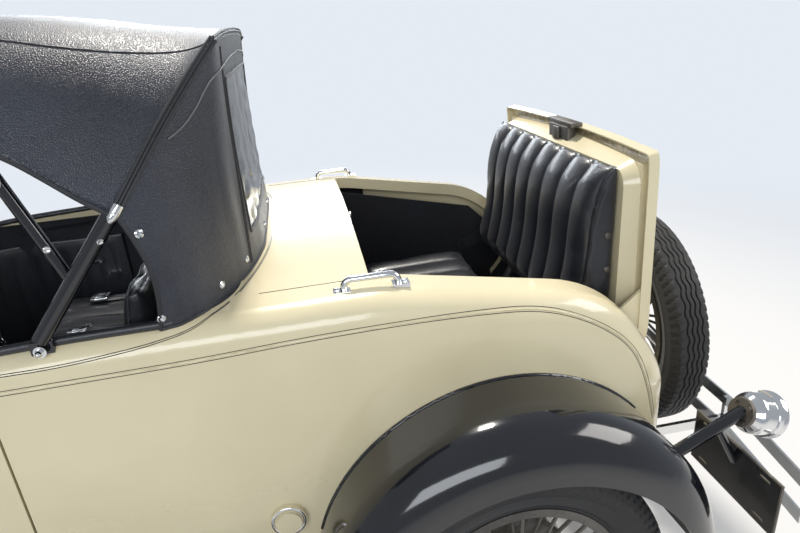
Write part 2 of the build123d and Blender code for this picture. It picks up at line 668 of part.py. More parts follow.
def front_fender():
    """The left front fender, swept along its crown line down to the running board."""
    c = Vector(WHEELBASE, REAR_CROWN_Z)
    r = REAR_CROWN_R
    arc = CenterArc(c, r, -2, 138)
    down = arc % 1
    knee_r = 230
    fall = (arc @ 1).Y - FENDER_TOE_Z
    angle = atan2(-down.Y, -down.X)
    run = fall / sin(angle) - knee_r * (1 - cos(angle)) / sin(angle)
    line = Line(arc @ 1, arc @ 1 + down * run)
    knee = TangentArc(line @ 1, (line @ 1) + Vector(-knee_r * sin(angle), -knee_r * (1 - cos(angle))),
                      tangent=down)
    flat = Line(knee @ 1, (knee @ 1) + Vector(-60, 0))
    flat_plane = Plane((0, CROWN_Y, 0), x_dir=(1, 0, 0), z_dir=(0, -1, 0))
    path = flat_plane * Wire([arc, line, knee, flat])
    plane = Plane(path @ 0, x_dir=(0, 1, 0), z_dir=(path % 0) * -1)
    face = fender_section(plane, CROWN_Y - FRONT_FENDER_IN_Y, 200)
    shape = sweep(face, path=path)
    hole = Pos(WHEELBASE, CROWN_Y + 20, TYRE_R) * Rot(-90, 0, 0)
    shape -= hole * Cylinder(FRONT_ARCH_R, 300, align=STAND)
    shape -= block(BOARD_FRONT_X - 400, WHEELBASE + 700, 300, 900, 0, BOARD_Z - BOARD_T)
    return shape - block(BOARD_FRONT_X - 400, BOARD_FRONT_X, 300, 900, 0, 900)


def running_boards():
    board = block(BOARD_REAR_X + 6, BOARD_FRONT_X - 8, BOARD_IN_Y, FENDER_OUT_Y - 3, BOARD_Z - BOARD_T,
                  BOARD_Z)
    bracket = None
    for x in (650, 1150, 1750):
        arm = block(x - 15, x + 15, RAIL_Y + RAIL_W / 2, FENDER_OUT_Y - 60, BOARD_Z - BOARD_T - 14,
                    BOARD_Z - BOARD_T)
        arm += block(x - 15, x + 15, RAIL_Y + RAIL_W / 2, RAIL_Y + RAIL_W / 2 + 6, BOARD_Z - BOARD_T - 14,
                     RAIL_TOP_Z - 20)
        bracket = arm if bracket is None else bracket + arm
    return both(board + bracket)


def splash_aprons():
    """The panels between body and running boards, and the ledges and walls beside the hood."""
    y = BODY_HALF - 7
    low = block(BOARD_REAR_X + 20, COWL_X, y, y + 5, BOARD_Z - 10, SILL_Z - CLEAR)
    edge = FRONT_FENDER_IN_Y - CLEAR
    base = HOOD_BOTTOM_Z - 12
    end = WHEELBASE + 330
    ledge = plan([(COWL_X + CLEAR, COWL_HALF + 3), (SHELL_X, SHELL_HALF + 6), (end, SHELL_HALF + 6),
                  (end, edge), (COWL_X + CLEAR, edge)], 0, base, base + 5)
    disc = along_y(WHEELBASE, edge - 5, REAR_CROWN_Z) * Cylinder(REAR_CROWN_R - 16, 5, align=STAND)
    wall = disc & block(COWL_X, end, 0, 700, base, 1000)
    wall += block(COWL_X + CLEAR, WHEELBASE - 400, edge - 5, edge, BOARD_Z - 10, base + 5)
    return both(low + ledge + wall)


def hood_size(x):
    """The hood's half width and top height at a station between the cowl and the radiator shell."""
    s = (x - COWL_X) / (SHELL_X - COWL_X)
    half = COWL_HALF - 4 + s * (SHELL_HALF - 2 - COWL_HALF + 4)
    top = COWL_Z - 8 + s * (SHELL_TOP_Z - 22 - COWL_Z + 8)
    return half, top


def hood_section(x, inset):
    """The hood's arched outline at a station."""
    half, top = (value - inset for value in hood_size(x))
    r = 150 - 30 * (x - COWL_X) / (SHELL_X - COWL_X) - inset
    bottom = HOOD_BOTTOM_Z
    plane = Plane((x, 0, 0), x_dir=(0, 1, 0), z_dir=(1, 0, 0))
    shoulder = top - HOOD_RISE
    pts = [(-half, bottom), (-half, shoulder), (0, top), (half, shoulder), (half, bottom)]
    return plane * make_face(FilletPolyline(*pts, radius=[0, r, HOOD_CROWN_R, r, 0], close=True))


def hood(left=True):
    """The left half of the hood, with a row of louvres in its side and its knuckles of the centre hinge."""
    x0, x1 = COWL_X + HOOD_GAP, SHELL_X - HOOD_GAP
    outer = loft([hood_section(x0, 0), hood_section(x1, 0)], ruled=True)
    inner = loft([hood_section(x0 - 1, HOOD_T), hood_section(x1 + 1, HOOD_T)], ruled=True)
    shell = outer - inner
    half = shell & block(x0 - 5, x1 + 5, HOOD_KNUCKLE_R + 3, 700, HOOD_BOTTOM_Z + 0.5, 1500)
    turn = degrees(atan2(COWL_HALF - SHELL_HALF - 2, SHELL_X - COWL_X))
    pitch = 22
    first = (x0 + x1) / 2 - pitch * (LOUVRES - 1) / 2
    for n in range(LOUVRES):
        x = first + n * pitch
        slot = Pos(x, hood_size(x)[0], 830) * Rot(0, 0, -turn) * Box(5, 30, 190)
        half -= slot
    knuckles = hood_hinge(left)
    z0, z1 = hood_axis(x0), hood_axis(x1)
    leaf = side([(x0, z0 - 1.5), (x1, z1 - 1.5), (x1, z1 + 1.5), (x0, z0 + 1.5)], 0, 0, HOOD_KNUCKLE_R + 6)
    length = (x1 - x0) / HOOD_KNUCKLES
    for n in range(0 if left else 1, HOOD_KNUCKLES, 2):
        half += leaf & block(x0 + n * length + 1, x0 + (n + 1) * length - 1, 0, 60, 900, 1200)
    half += knuckles
    x0, x1 = x0 - 5, x1 + 5
    return half - rod((x0, 0, hood_axis(x0)), (x1, 0, hood_axis(x1)), HOOD_ROD_R + RUN)


def hood_axis(x):
    """The straight hinge line's height: under the crown, in the middle of the sheet, at both ends."""
    rear, fore = (top - HOOD_CROWN_R * (hypot(half, HOOD_RISE) / half - 1) - HOOD_T / 2
                  for half, top in (hood_size(COWL_X), hood_size(SHELL_X)))
    return rear + (fore - rear) * (x - COWL_X) / (SHELL_X - COWL_X)


def hood_hinge(left):
    """Every second knuckle of the hinge along the hood's centre, bored for the rod."""
    x0, x1 = COWL_X + HOOD_GAP, SHELL_X - HOOD_GAP
    z0, z1 = hood_axis(x0), hood_axis(x1)
    length = (x1 - x0) / HOOD_KNUCKLES
    shape = None
    for n in range(0 if left else 1, HOOD_KNUCKLES, 2):
        a, b = x0 + n * length + CLEAR, x0 + (n + 1) * length - CLEAR
        ends = [(x, 0, z0 + (z1 - z0) * (x - x0) / (x1 - x0)) for x in (a, b)]
        piece = rod(*ends, HOOD_KNUCKLE_R)
        shape = piece if shape is None else shape + piece
    return shape


def hood_rod():
    x0, x1 = COWL_X - 1, SHELL_X - CLEAR
    return rod((x0, 0, hood_axis(x0)), (x1, 0, hood_axis(x1)), HOOD_ROD_R)


def shell_outline(inset, x0, x1):
    half = SHELL_HALF - inset
    top = SHELL_TOP_Z - inset
    pts = [(-half + 20, SHELL_BOTTOM_Z + inset), (-half, top - 50), (0, top), (half, top - 50),
           (half - 20, SHELL_BOTTOM_Z + inset)]
    return front(pts, [30, 120 - inset, 700, 120 - inset, 30], x0, x1)


def radiator_shell():
    """The bright surround, with the filler neck and cap on top."""
    front_x = SHELL_X + SHELL_DEPTH
    shell = shell_outline(0, SHELL_X, front_x) - shell_outline(SHELL_RIM, SHELL_X - 1, front_x + 1)
    cap = Pos(SHELL_X + SHELL_DEPTH / 2, 0, SHELL_TOP_Z - 20) * Cylinder(24, 44, align=STAND)
    cap += Pos(SHELL_X + SHELL_DEPTH / 2, 0, SHELL_TOP_Z + 22) * Cylinder(36, 18, align=STAND)
    return shell + cap


def radiator_core():
    """The core inside the surround, with its upright fins at the front."""
    core = shell_outline(SHELL_RIM + CLEAR, SHELL_X + 8, SHELL_X + SHELL_DEPTH - 18)
    bars = None
    count = 17
    for n in range(count):
        y = (n - (count - 1) / 2) * 26
        bar = block(SHELL_X + SHELL_DEPTH - 20, SHELL_X + SHELL_DEPTH - 12, y - 3, y + 3,
                    SHELL_BOTTOM_Z + SHELL_RIM + 8, SHELL_TOP_Z - SHELL_RIM - 24 - abs(y) * 0.22)
        bars = bar if bars is None else bars + bar
    feet = both(block(SHELL_X + 8, SHELL_X + 60, 120, 160, CROSS_Z + CROSS_H + CLEAR,
                      SHELL_BOTTOM_Z + SHELL_RIM + 20))
    return core + bars


def headlamps(fender):
    """Both bowls on the bar between the fenders, with the horn under the left one."""
    pts = [(0, -70), (40, -62), (85, -25), (LAMP_R - 6, 30), (LAMP_R, 36), (LAMP_R, 56), (LAMP_R - 8, 56),
           (LAMP_R - 8, 40), (78, -18), (36, -54), (0, -62)]
    forward = Rot(0, 0, -90)
    bowl = Pos(LAMP_X, LAMP_Y, LAMP_Z) * forward * revolve(make_face(Polyline(*pts, close=True)), Axis.Y)
    x = LAMP_X - 10
    foot_y, foot_z = FRONT_FENDER_IN_Y + 50, 892
    half = [(x, foot_y, foot_z), (x, FRONT_FENDER_IN_Y - 24, foot_z),
            (x, FRONT_FENDER_IN_Y - 70, LAMP_BAR_Z)]
    bar = pipe([(a, -b, c) for a, b, c in half] + half[::-1], 30, 13)
    foot = Pos(x, foot_y, foot_z) * Cylinder(20, 80)
    foot = both((foot & block(x - 30, x + 30, 0, 900, 0, foot_z + 13)) - fender).solids()
    feet = [f for f in foot if f.center().Z > foot_z - 30]
    stem = rod((x, LAMP_Y, LAMP_BAR_Z), (x, LAMP_Y, LAMP_Z - 70), 13)
    horn_z = LAMP_BAR_Z - 105
    bell = [(0, -70), (34, -70), (40, -62), (40, -30), (20, -24), (22, 10), (60, 76), (66, 78), (66, 84),
            (0, 84)]
    horn = Pos(x, LAMP_Y - 60, horn_z) * forward * revolve(make_face(Polyline(*bell, close=True)), Axis.Y)
    hanger = rod((x, LAMP_Y - 60, horn_z), (x, LAMP_Y - 60, LAMP_BAR_Z), 7)
    shape = bar + both(bowl + stem) + horn + hanger
    for f in feet:
        shape += f
    return shape


def headlamp_lenses():
    lens = Pos(LAMP_X + 44, LAMP_Y, LAMP_Z) * Rot(0, 90, 0) * Cylinder(LAMP_R - 8 - CLEAR, 8, align=STAND)
    return both(lens)


def bumper(x_face, facing):
    """Twin bars with rounded ends, bowed in plan, on two brackets."""
    shape = None
    for z in (427, 528):
        front_half = [(0, 0), (8, 420), (60, 760), (66, 760), (14, 420)]
        line = front_half + [(6, 0)] + [(back, -y) for back, y in reversed(front_half[1:])]
        pts = [(x_face - facing * back, y) for back, y in line]
        bar = outline(Plane((0, 0, z - 19)), pts, 0, 38)
        shape = bar if shape is None else shape + bar
    return shape


def bumpers(x_face, facing, inner_x):
    """A bumper with its two arms, bolted to the outer sides of the rails."""
    bars = bumper(x_face, facing)
    y = RAIL_Y + RAIL_W / 2 + CLEAR
    near, far = sorted((x_face - facing * 10, x_face - facing * 26))
    back, fore = sorted((x_face - facing * 24, inner_x))
    posts = block(near, far, y, y + 12, 408, 547)
    arms = block(back, fore, y, y + 12, SILL_Z - 38, SILL_Z - 8)
    return bars + both(posts + arms)


def tail_lamp():
    """The bright drum lamp over the left rear fender: a domed back, a swelling barrel and a rim."""
    way = (Vector(*TAIL_LAMP_RIM) - Vector(*STANCHION_TOP)).normalized()
    start = Vector(*TAIL_LAMP_RIM) - way * TAIL_LAMP_L
    r, long = TAIL_LAMP_R, TAIL_LAMP_L
    points = [(0, 0), (r - 27, 0), (r - 5, 22), (r - 3, long - 25), (r, long - 23), (r, long - 5),
              (r - 7, long), (0, long)]
    half = make_face(FilletPolyline(*points, radius=[0, 10, 20, 0, 0, 3, 0, 0], close=True))
    return Plane(start, z_dir=way) * Rot(90, 0, 0) * revolve(half, Axis.Y, 360)


def licence_bracket(fender):
    """The stanchion from the left rear fender that carries the lamp, and the blank plate below it."""
    lamp = tail_lamp()
    stem = (rod((-400, 690, 640), (-606, 661, 708), STANCHION_R) - lamp - fender).solids()
    drop_arm = (rod((-530, 673, 690), (-602, 664, 560), 9) - lamp).solids()
    plate = block(-606, -600, 510, 820, 455, 610)
    return stem.sort_by(SortBy.VOLUME)[-1] + drop_arm.sort_by(SortBy.VOLUME)[-1] + plate


def spare_carrier():
    """Two bent bars from the frame, under the tail and up to the plate that holds the spare wheel."""
    x = SPARE_X + 60 + CLEAR
    z = SILL_Z - 26
    bar = pipe([(RAIL_REAR_X - CLEAR, 60, z), (x + 22, 60, z), (x + 22, 60, SPARE_Z + 40)], 40, 16)
    plate = Pos(x + 5, 0, SPARE_Z) * Rot(0, 90, 0) * Cylinder(96, 10)
    return both(bar) + plate


def filler_cap():
    cap = Pos(FILLER_X, BODY_HALF, FILLER_Z) * Rot(-90, 0, 0)
    disc = cap * Cylinder(FILLER_R, 14, align=STAND)
    knob = cap * Pos(0, 0, 14) * Cylinder(FILLER_R - 12, 8, align=STAND)
    neck = cap * Pos(0, 0, -90) * Cylinder(30 - CLEAR, 92, align=STAND)
    return disc + knob + neck


def grab_handles():
    """A bar on two flanged feet at each side of the rumble seat."""
    z = 1125
    x0, x1 = HANDLE_X - HANDLE_SPAN / 2, HANDLE_X + HANDLE_SPAN / 2
    bar = pipe([(x0, HANDLE_Y, z - 20), (x0, HANDLE_Y, z + 26), (x1, HANDLE_Y, z + 26),
                (x1, HANDLE_Y, z - 20)], 18, HANDLE_R)
    feet = block(x0 - 24, x0 + 14, HANDLE_Y - 16, HANDLE_Y + 16, z - 20, z + 5)
    feet += block(x1 - 14, x1 + 24, HANDLE_Y - 16, HANDLE_Y + 16, z - 20, z + 5)
    return both((bar + feet) - OUTER)


def top_form(inset):
    """The weather top as a solid: a cross section cut to a side profile and rounded in plan."""
    i = inset
    half = 616 - i
    right = [(-half, 900), (-half + 8, 1420), (-500 + i * 0.7, 1692 - i)]
    section = right + [(0, TOP_PEAK_Z + 12 - i)] + [(-y, z) for y, z in reversed(right)]
    body = front(section, [0, 260, 80, 2300, 80, 260, 0], 300, TOP_FRONT_X - i * 0.1)
    back = TOP_REAR_X - 6 + i
    profile = [(back, 900), (back, 1250), (back + 28, 1665 - i * 0.6), (1080, 1756 - i),
               (TOP_FRONT_X + 20, 1700 - i), (TOP_FRONT_X + 20, 900)]
    body &= side(profile, [0, 900, 30, 3000, 0, 0], -700, 700)
    edge = [(TOP_FRONT_X + 30, 556 - i), (1250, 604 - i), (900, 622 - i), (640 + i, 622 - i),
            (back + 40, 470 - i), (back - 4, 0)]
    points = edge + [(x, -y) for x, y in reversed(edge[:-1])]
    return body & plan(points, [0, 2000, 900, 130, 150, 2500, 150, 130, 900, 2000, 0], 800, 1900)


def side_opening():
    """The open side over the door, from the quarter to the screen."""
    edge = [(716, 900), (726, 1182), (728, 1309), (741, 1367), (896, 1497), (TOP_FRONT_X + 40, 1630)]
    return side(edge + [(TOP_FRONT_X + 40, 900)], [0, 300, 30, 20, 300, 0, 0], -900, 900)


def soft_top():
    """Roof, back and rear quarters of the top, open at the sides and to the screen."""
    shell = top_form(0) - top_form(TOP_T)
    shell -= block(TOP_FRONT_X - 2, 2200, -900, 900, 0, 2000)
    rim = Pos(1000, 0, DECK_Z - 8 - CROWN_R) * Rot(0, 90, 0) * Cylinder(CROWN_R + TOP_SEAT, 2400)
    shell -= rim
    shell -= side_opening()
    shell -= window_form(0)
    return shell.solids().sort_by(SortBy.VOLUME)[-1]


def window_form(inset):
    y, low, high = 330 - inset, 1215 + inset, 1575 - inset
    return front([(-y, low), (y, low), (y, high), (-y, high)], 40, 300, 640)


def rear_window():
    shell = top_form(3) - top_form(TOP_T - 3)
    pane = shell & window_form(CLEAR) & block(300, 640, -400, 400, 1000, 1800)
    return pane.solids().sort_by(SortBy.VOLUME)[-1]


def top_irons():
    """The folding irons at each side and the bows that they carry under the fabric."""
    inner, core = top_form(TOP_T + CLEAR), top_form(TOP_T + CLEAR + BOW_T)
    header = inner & block(1622, 1660, -SCREEN_HALF + 20, SCREEN_HALF - 20, SCREEN_TOP_Z + 14, 1800)
    slabs = [block(x, x + 26, -700, 700, 1400, 1800) for x in BOW_XS]
    bows = ((inner - core) & (slabs[0] + slabs[1])) - side_opening()
    tip = (748, IRON_Y - 2, 1368)
    half = [tip, (REAR_BOW_X, 375, 1618), (REAR_BOW_X, 180, 1648)]
    rear = pipe([(x, -y, z) for x, y, z in half] + half[::-1], 25, 10)
    arms = rod((937, IRON_Y, 1132), tip, IRON_R)
    arms += rod((852, IRON_Y - 10, 1240), (952, IRON_Y - 10, 1530), IRON_R - 4)
    arms += block(937 - 22, 937 + 22, IRON_Y - 5, IRON_Y + 4.5, 1080, 1130)
    shape = header + bows + both(arms - OUTER) + rear
    return shape & (inner + block(600, 1100, -700, 700, 0, 1400))


def screen_outline(inset, depth):
    """The windscreen's outline on its raked plane."""
    rake = degrees(atan2(SCREEN_X - SCREEN_TOP_X, SCREEN_TOP_Z - SCREEN_Z))
    height = hypot(SCREEN_X - SCREEN_TOP_X, SCREEN_TOP_Z - SCREEN_Z)
    plane = Plane((SCREEN_X, 0, SCREEN_Z), x_dir=(0, 1, 0),
                  z_dir=(cos(radians(rake)), 0, sin(radians(rake))))
    half = SCREEN_HALF - inset
    pts = [(-half, inset), (half, inset), (half, height - inset), (-half, height - inset)]
    face = plane * make_face(FilletPolyline(*pts, radius=14, close=True))
    return extrude(face, amount=depth, both=True)


def windscreen_frame():
    frame = screen_outline(0, 9) - screen_outline(18, 20)
    post = rod((SCREEN_X + 12, SCREEN_HALF + 4, 1040),
               (SCREEN_TOP_X + 5, SCREEN_HALF + 4, SCREEN_TOP_Z - 20), 9)
    return (frame + both(post)) - OUTER


def windscreen_glass():
    return screen_outline(18 + CLEAR, 3)


def steering_wheel():
    """The rim, four spokes, hub and the shaft down the column."""
    way = (Vector(*COLUMN_TOP) - Vector(*COLUMN_FOOT)).normalized()
    plane = Plane(COLUMN_TOP, x_dir=(0, 1, 0), z_dir=way)
    ring = plane * Torus(STEERING_R - 12, 12)
    hub = plane * Cylinder(34, 30)
    shape = ring + hub
    for n in range(4):
        a = 45 + 90 * n
        spoke = plane * Rot(0, 0, a) * Pos(STEERING_R / 2, 0, 0) * Box(STEERING_R - 20, 18, 9)
        shape += spoke
    shaft = rod(COLUMN_TOP, COLUMN_FOOT, STEER_SHAFT_R)
    return shape + shaft


def steering_column():
    """The jacket round the shaft and the box on the frame rail."""
    top, foot = Vector(*COLUMN_TOP), Vector(*COLUMN_FOOT)
    way = (foot - top).normalized()
    jacket = rod(tuple(top + way * 18), tuple(foot - way * 30), COLUMN_R)
    box = block(1980, 2080, COLUMN_Y - 60, COLUMN_Y + 30, RAIL_TOP_Z + CLEAR, 680)
    return jacket + box - rod(COLUMN_TOP, tuple(foot + way * 4), STEER_SHAFT_R + RUN)


def exhaust():
    """Down pipe from the engine's side, muffler and tail pipe, with a hanger to the middle cross member."""
    run = pipe([(2200, -110 - CLEAR, 640), (2200, -215, 640), (2160, -250, 395), (1700, -250, 345),
                (-480, -250, 262)], 48, 22)
    hanger = block(1464, 1476, -262, -238, 320, RAIL_TOP_Z - 40 - CLEAR)
    return run + rod((700, -250, 307), (1200, -250, 326), 60) + hanger


def fuel_tank():
    """The tank between the rails, hung under the rumble well's floor."""
    return block(330, 690, -320, 320, FLOOR_Z - 80, FLOOR_Z - CLEAR)


def save(node, shape):
    """Write one sub-part with the part's origin, as separate solids where it has several."""
    solids = [s for s in shape.solids()]
    moved = [Pos(ORIGIN_X, 0, 0) * s for s in solids]
    export_step(moved[0] if len(moved) == 1 else Compound(moved), f"parts/{node}.step")
    print(node, len(solids))


def main():
    os.makedirs("parts", exist_ok=True)
    leaf, barrels = doors()
    cowl_shape = cowl() - both(Pos(HINGE_X, HINGE_Y, 800) * Cylinder(HINGE_R + 2, 900))
    cowl_shape += hood_rod()
    cowl_shape += both(barrels & block(HINGE_X - 20, HINGE_X + 60, 0, 700, 0, 1200))
    front_wing, rear_wing = front_fender(), rear_fender()
    tyre_shape, wheel_shape = tyre(), wheel()
    inward = Rot(0, 0, 180)
    shapes = {
        "chassis_frame": chassis_frame(), "engine": engine(), "driveline": driveline(),
        "rear_axle": rear_axle(), "front_axle": front_axle(), "leaf_springs": leaf_springs(),
        "exhaust": exhaust(), "fuel_tank": fuel_tank(),
        "floor": floor(), "cowl": cowl_shape, "dashboard": dashboard(), "rear_body": rear_body(),
        "rear_deck": rear_deck(), "rumble_tub": rumble_tub(), "rumble_cushion": rumble_cushion(),
        "rumble_lid": rumble_lid(), "rumble_back": rumble_back(),
        "radiator_shell": radiator_shell(), "radiator_core": radiator_core(),
        "front_fenders": both(front_wing), "rear_fenders": both(rear_wing),
        "running_boards": running_boards(), "splash_aprons": splash_aprons(),
        "windscreen_frame": windscreen_frame(), "windscreen_glass": windscreen_glass(),
        "soft_top": soft_top(), "rear_window": rear_window(), "top_irons": top_irons(),
        "seat_cushion": seat_cushion(), "seat_back": seat_back(),
        "front_bumper": bumpers(FRONT_BUMPER_X, 1, RAIL_FRONT_X - 160),
        "rear_bumper": bumpers(REAR_BUMPER_X, -1, RAIL_REAR_X + 120),
        "headlamps": headlamps(front_wing), "headlamp_lenses": headlamp_lenses(),
        "tail_lamp": tail_lamp(), "licence_bracket": licence_bracket(rear_wing),
        "grab_handles": grab_handles(), "filler_cap": filler_cap(), "spare_carrier": spare_carrier(),
        "steering_wheel": steering_wheel(), "steering_column": steering_column(),
        "door_left": leaf, "door_right": mirror(leaf, Plane.XZ),
        "hood_left": hood(), "hood_right": mirror(hood(False), Plane.XZ),
        "knuckle_left": knuckle(), "knuckle_right": mirror(knuckle(), Plane.XZ), "tie_rod": tie_rod(),
        "spare_tyre": Pos(SPARE_X, 0, SPARE_Z) * Rot(0, 0, 90) * tyre_shape,
        "spare_wheel": Pos(SPARE_X, 0, SPARE_Z) * Rot(0, 0, 90) * wheel(False),
    }
    for end, x in (("front", WHEELBASE), ("rear", 0)):
        for flank, y, turn in (("left", WHEEL_Y, Rot(0, 0, 0)), ("right", -WHEEL_Y, inward)):
            shapes[f"tyre_{end}_{flank}"] = Pos(x, y, TYRE_R) * turn * tyre_shape
            shapes[f"wheel_{end}_{flank}"] = Pos(x, y, TYRE_R) * turn * wheel_shape
    for node, shape in shapes.items():
        save(node, shape)


main()
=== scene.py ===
# %% [markdown]
# Vintage roadster with its top up and its rumble seat open.
# The CAD frame gives every place and size. This file gives the looks: paint, vinyl, chrome, tread,
# pleats, piping and trim, each made in the space that its CAD solid holds.

# %% Load the frame
import math

import bmesh
import bpy
from mathutils import Matrix, Vector
from mathutils.bvhtree import BVHTree


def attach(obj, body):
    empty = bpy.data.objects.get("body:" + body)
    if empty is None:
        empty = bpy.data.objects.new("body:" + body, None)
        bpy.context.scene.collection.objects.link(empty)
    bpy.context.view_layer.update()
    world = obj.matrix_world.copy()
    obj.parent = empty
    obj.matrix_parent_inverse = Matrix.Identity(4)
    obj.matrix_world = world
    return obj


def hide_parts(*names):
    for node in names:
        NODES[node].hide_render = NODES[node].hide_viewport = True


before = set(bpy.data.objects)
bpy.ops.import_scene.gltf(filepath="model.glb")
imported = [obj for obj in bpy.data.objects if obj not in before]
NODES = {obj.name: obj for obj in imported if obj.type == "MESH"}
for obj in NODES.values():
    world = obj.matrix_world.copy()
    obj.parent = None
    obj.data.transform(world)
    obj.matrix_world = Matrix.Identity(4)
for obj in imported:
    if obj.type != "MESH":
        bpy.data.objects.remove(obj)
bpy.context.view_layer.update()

# %% [markdown]
# Drawings of cars measure along the car from the rear axle, in millimetres. The frame has its origin in
# the middle of the car, in metres. One small function turns a drawing's place into the frame's.

# %% Places
ORIGIN_X = -1219.5
MM = 0.001
WHEELBASE, WHEEL_Y, AXLE_Z = 2629, 711, 368
WHEEL_PLACES = {"front_left": (WHEELBASE, WHEEL_Y, AXLE_Z), "front_right": (WHEELBASE, -WHEEL_Y, AXLE_Z),
                "rear_left": (0, WHEEL_Y, AXLE_Z), "rear_right": (0, -WHEEL_Y, AXLE_Z)}
SPARE_PLACE = (-687, 0, 650)


def at(x, y, z):
    """A place from the rear axle, the centre plane and the ground, in millimetres."""
    return Vector(((x + ORIGIN_X) * MM, y * MM, z * MM))


# %% [markdown]
# The photograph was taken by somebody standing beside the left rear fender, looking down and across the
# car. The camera has that place, its downward pitch and its slight roll, and the lens that fits.

# %% Camera
CAMERA_AT = (389.36, 1738.09, 1660.23)
CAMERA_YAW, CAMERA_PITCH, CAMERA_ROLL = -1.72317, 0.38699, -0.07628
FOCAL_PIXELS, IMAGE_W = 598.32, 800
SENSOR = 36.0

forward = Vector((math.cos(CAMERA_PITCH) * math.cos(CAMERA_YAW),
                  math.cos(CAMERA_PITCH) * math.sin(CAMERA_YAW), -math.sin(CAMERA_PITCH)))
level = forward.cross(Vector((0, 0, 1))).normalized()
upright = level.cross(forward)
right = level * math.cos(CAMERA_ROLL) + upright * math.sin(CAMERA_ROLL)
above = upright * math.cos(CAMERA_ROLL) - level * math.sin(CAMERA_ROLL)
camera_data = bpy.data.cameras.new("camera")
camera_data.sensor_width = SENSOR
camera_data.lens = FOCAL_PIXELS / IMAGE_W * SENSOR
camera_data.clip_start, camera_data.clip_end = 0.02, 200
camera = bpy.data.objects.new("camera", camera_data)
bpy.context.scene.collection.objects.link(camera)
turn = Matrix((right, above, -forward)).transposed().to_4x4()
camera.matrix_world = Matrix.Translation(at(*CAMERA_AT)) @ turn
bpy.context.scene.camera = camera
print("lens", round(camera_data.lens, 2))

# %% [markdown]
# A plain studio: a pale floor, one small strong lamp from above the far side, as the sun stood, and three
# large soft lamps that draw the long highlights on gloss paint, vinyl and chrome.

# %% Studio
bpy.context.scene.view_settings.view_transform = "Standard"


def new_material(name):
    material = bpy.data.materials.new(name)
    material.use_nodes = True
    return material, material.node_tree, material.node_tree.nodes["Principled BSDF"]


floor_mesh = bmesh.new()
bmesh.ops.create_grid(floor_mesh, x_segments=1, y_segments=1, size=40)
floor_data = bpy.data.meshes.new("studio_floor")
floor_mesh.to_mesh(floor_data)
floor_mesh.free()
studio_floor = bpy.data.objects.new("studio_floor", floor_data)
bpy.context.scene.collection.objects.link(studio_floor)
floor_look, floor_tree, floor_shader = new_material("studio_floor")
floor_shader.inputs["Base Color"].default_value = (0.62, 0.61, 0.59, 1)
floor_shader.inputs["Roughness"].default_value = 0.9
floor_data.materials.append(floor_look)

world = bpy.data.worlds.new("studio")
bpy.context.scene.world = world
world.use_nodes = True
BACKDROP = (0.80, 0.85, 0.92, 1)
SKY_STRENGTH, SKY_SEEN = 0.5, 0.98
sky = world.node_tree.nodes["Background"]
sky.inputs["Color"].default_value = BACKDROP
seen_by = world.node_tree.nodes.new("ShaderNodeLightPath")
lift = world.node_tree.nodes.new("ShaderNodeMapRange")
lift.inputs["To Min"].default_value, lift.inputs["To Max"].default_value = SKY_STRENGTH, SKY_SEEN
world.node_tree.links.new(seen_by.outputs["Is Camera Ray"], lift.inputs["Value"])
world.node_tree.links.new(lift.outputs["Result"], sky.inputs["Strength"])

SOFT_LAMPS = [
    # name, place in metres, size, power, colour
    ("sun", (-1.0, -2.9, 6.2), (0.7, 0.7), 430, (1.0, 0.955, 0.88)),
    ("far", (-0.6, -7.4, 3.3), (7.0, 1.7), 240, (0.88, 0.94, 1.0)),
    ("rear", (-5.0, 1.4, 3.2), (2.6, 2.0), 90, (1.0, 0.97, 0.93)),
    ("near", (0.8, 5.9, 3.2), (5.0, 2.2), 170, (0.92, 0.96, 1.0)),
]
for name, place, size, power, colour in SOFT_LAMPS:
    lamp_data = bpy.data.lights.new("lamp_" + name, "AREA")
    lamp_data.shape = "RECTANGLE"
    lamp_data.size, lamp_data.size_y = size
    lamp_data.energy = power
    lamp_data.color = colour
    lamp = bpy.data.objects.new("lamp_" + name, lamp_data)
    lamp.visible_camera = False
    bpy.context.scene.collection.objects.link(lamp)
    lamp.location = place
    lamp.rotation_mode = "QUATERNION"
    lamp.rotation_quaternion = (Vector((-0.3, 0, 0.8)) - Vector(place)).to_track_quat("-Z", "Y")
print("lamps", len(SOFT_LAMPS))

# %% [markdown]
# Some effects belong to more than one finish, so each is a node group with named sockets: a pebbled
# grain for vinyl, a slow mottling that keeps a colour from looking flat, road dust that gathers low on
# the car, and fine scratches.

# %% Shared effects


def new_group(name, inputs, outputs):
    group = bpy.data.node_groups.new(name, "ShaderNodeTree")
    for socket, kind, value in inputs:
        made = group.interface.new_socket(socket, in_out="INPUT", socket_type=kind)
        if value is not None:
            made.default_value = value
    for socket, kind in outputs:
        group.interface.new_socket(socket, in_out="OUTPUT", socket_type=kind)
    start = group.nodes.new("NodeGroupInput")
    end = group.nodes.new("NodeGroupOutput")
    return group, start, end


def link(tree, source, target):
    tree.links.new(source, target)


def math_node(tree, operation, a, b=None, clamp=False):
    """A Math node fed by sockets or numbers."""
    node = tree.nodes.new("ShaderNodeMath")
    node.operation = operation
    node.use_clamp = clamp
    for slot_number, value in enumerate((a, b)):
        if value is None:
            continue
        if isinstance(value, (int, float)):
            node.inputs[slot_number].default_value = value
        else:
            link(tree, value, node.inputs[slot_number])
    return node.outputs[0]


def mix_colours(tree, factor, a, b):
    node = tree.nodes.new("ShaderNodeMix")
    node.data_type = "RGBA"
    for socket, value in ((node.inputs[0], factor), (node.inputs[6], a), (node.inputs[7], b)):
        if isinstance(value, (int, float, tuple)):
            socket.default_value = value
        else:
            link(tree, value, socket)
    return node.outputs[2]


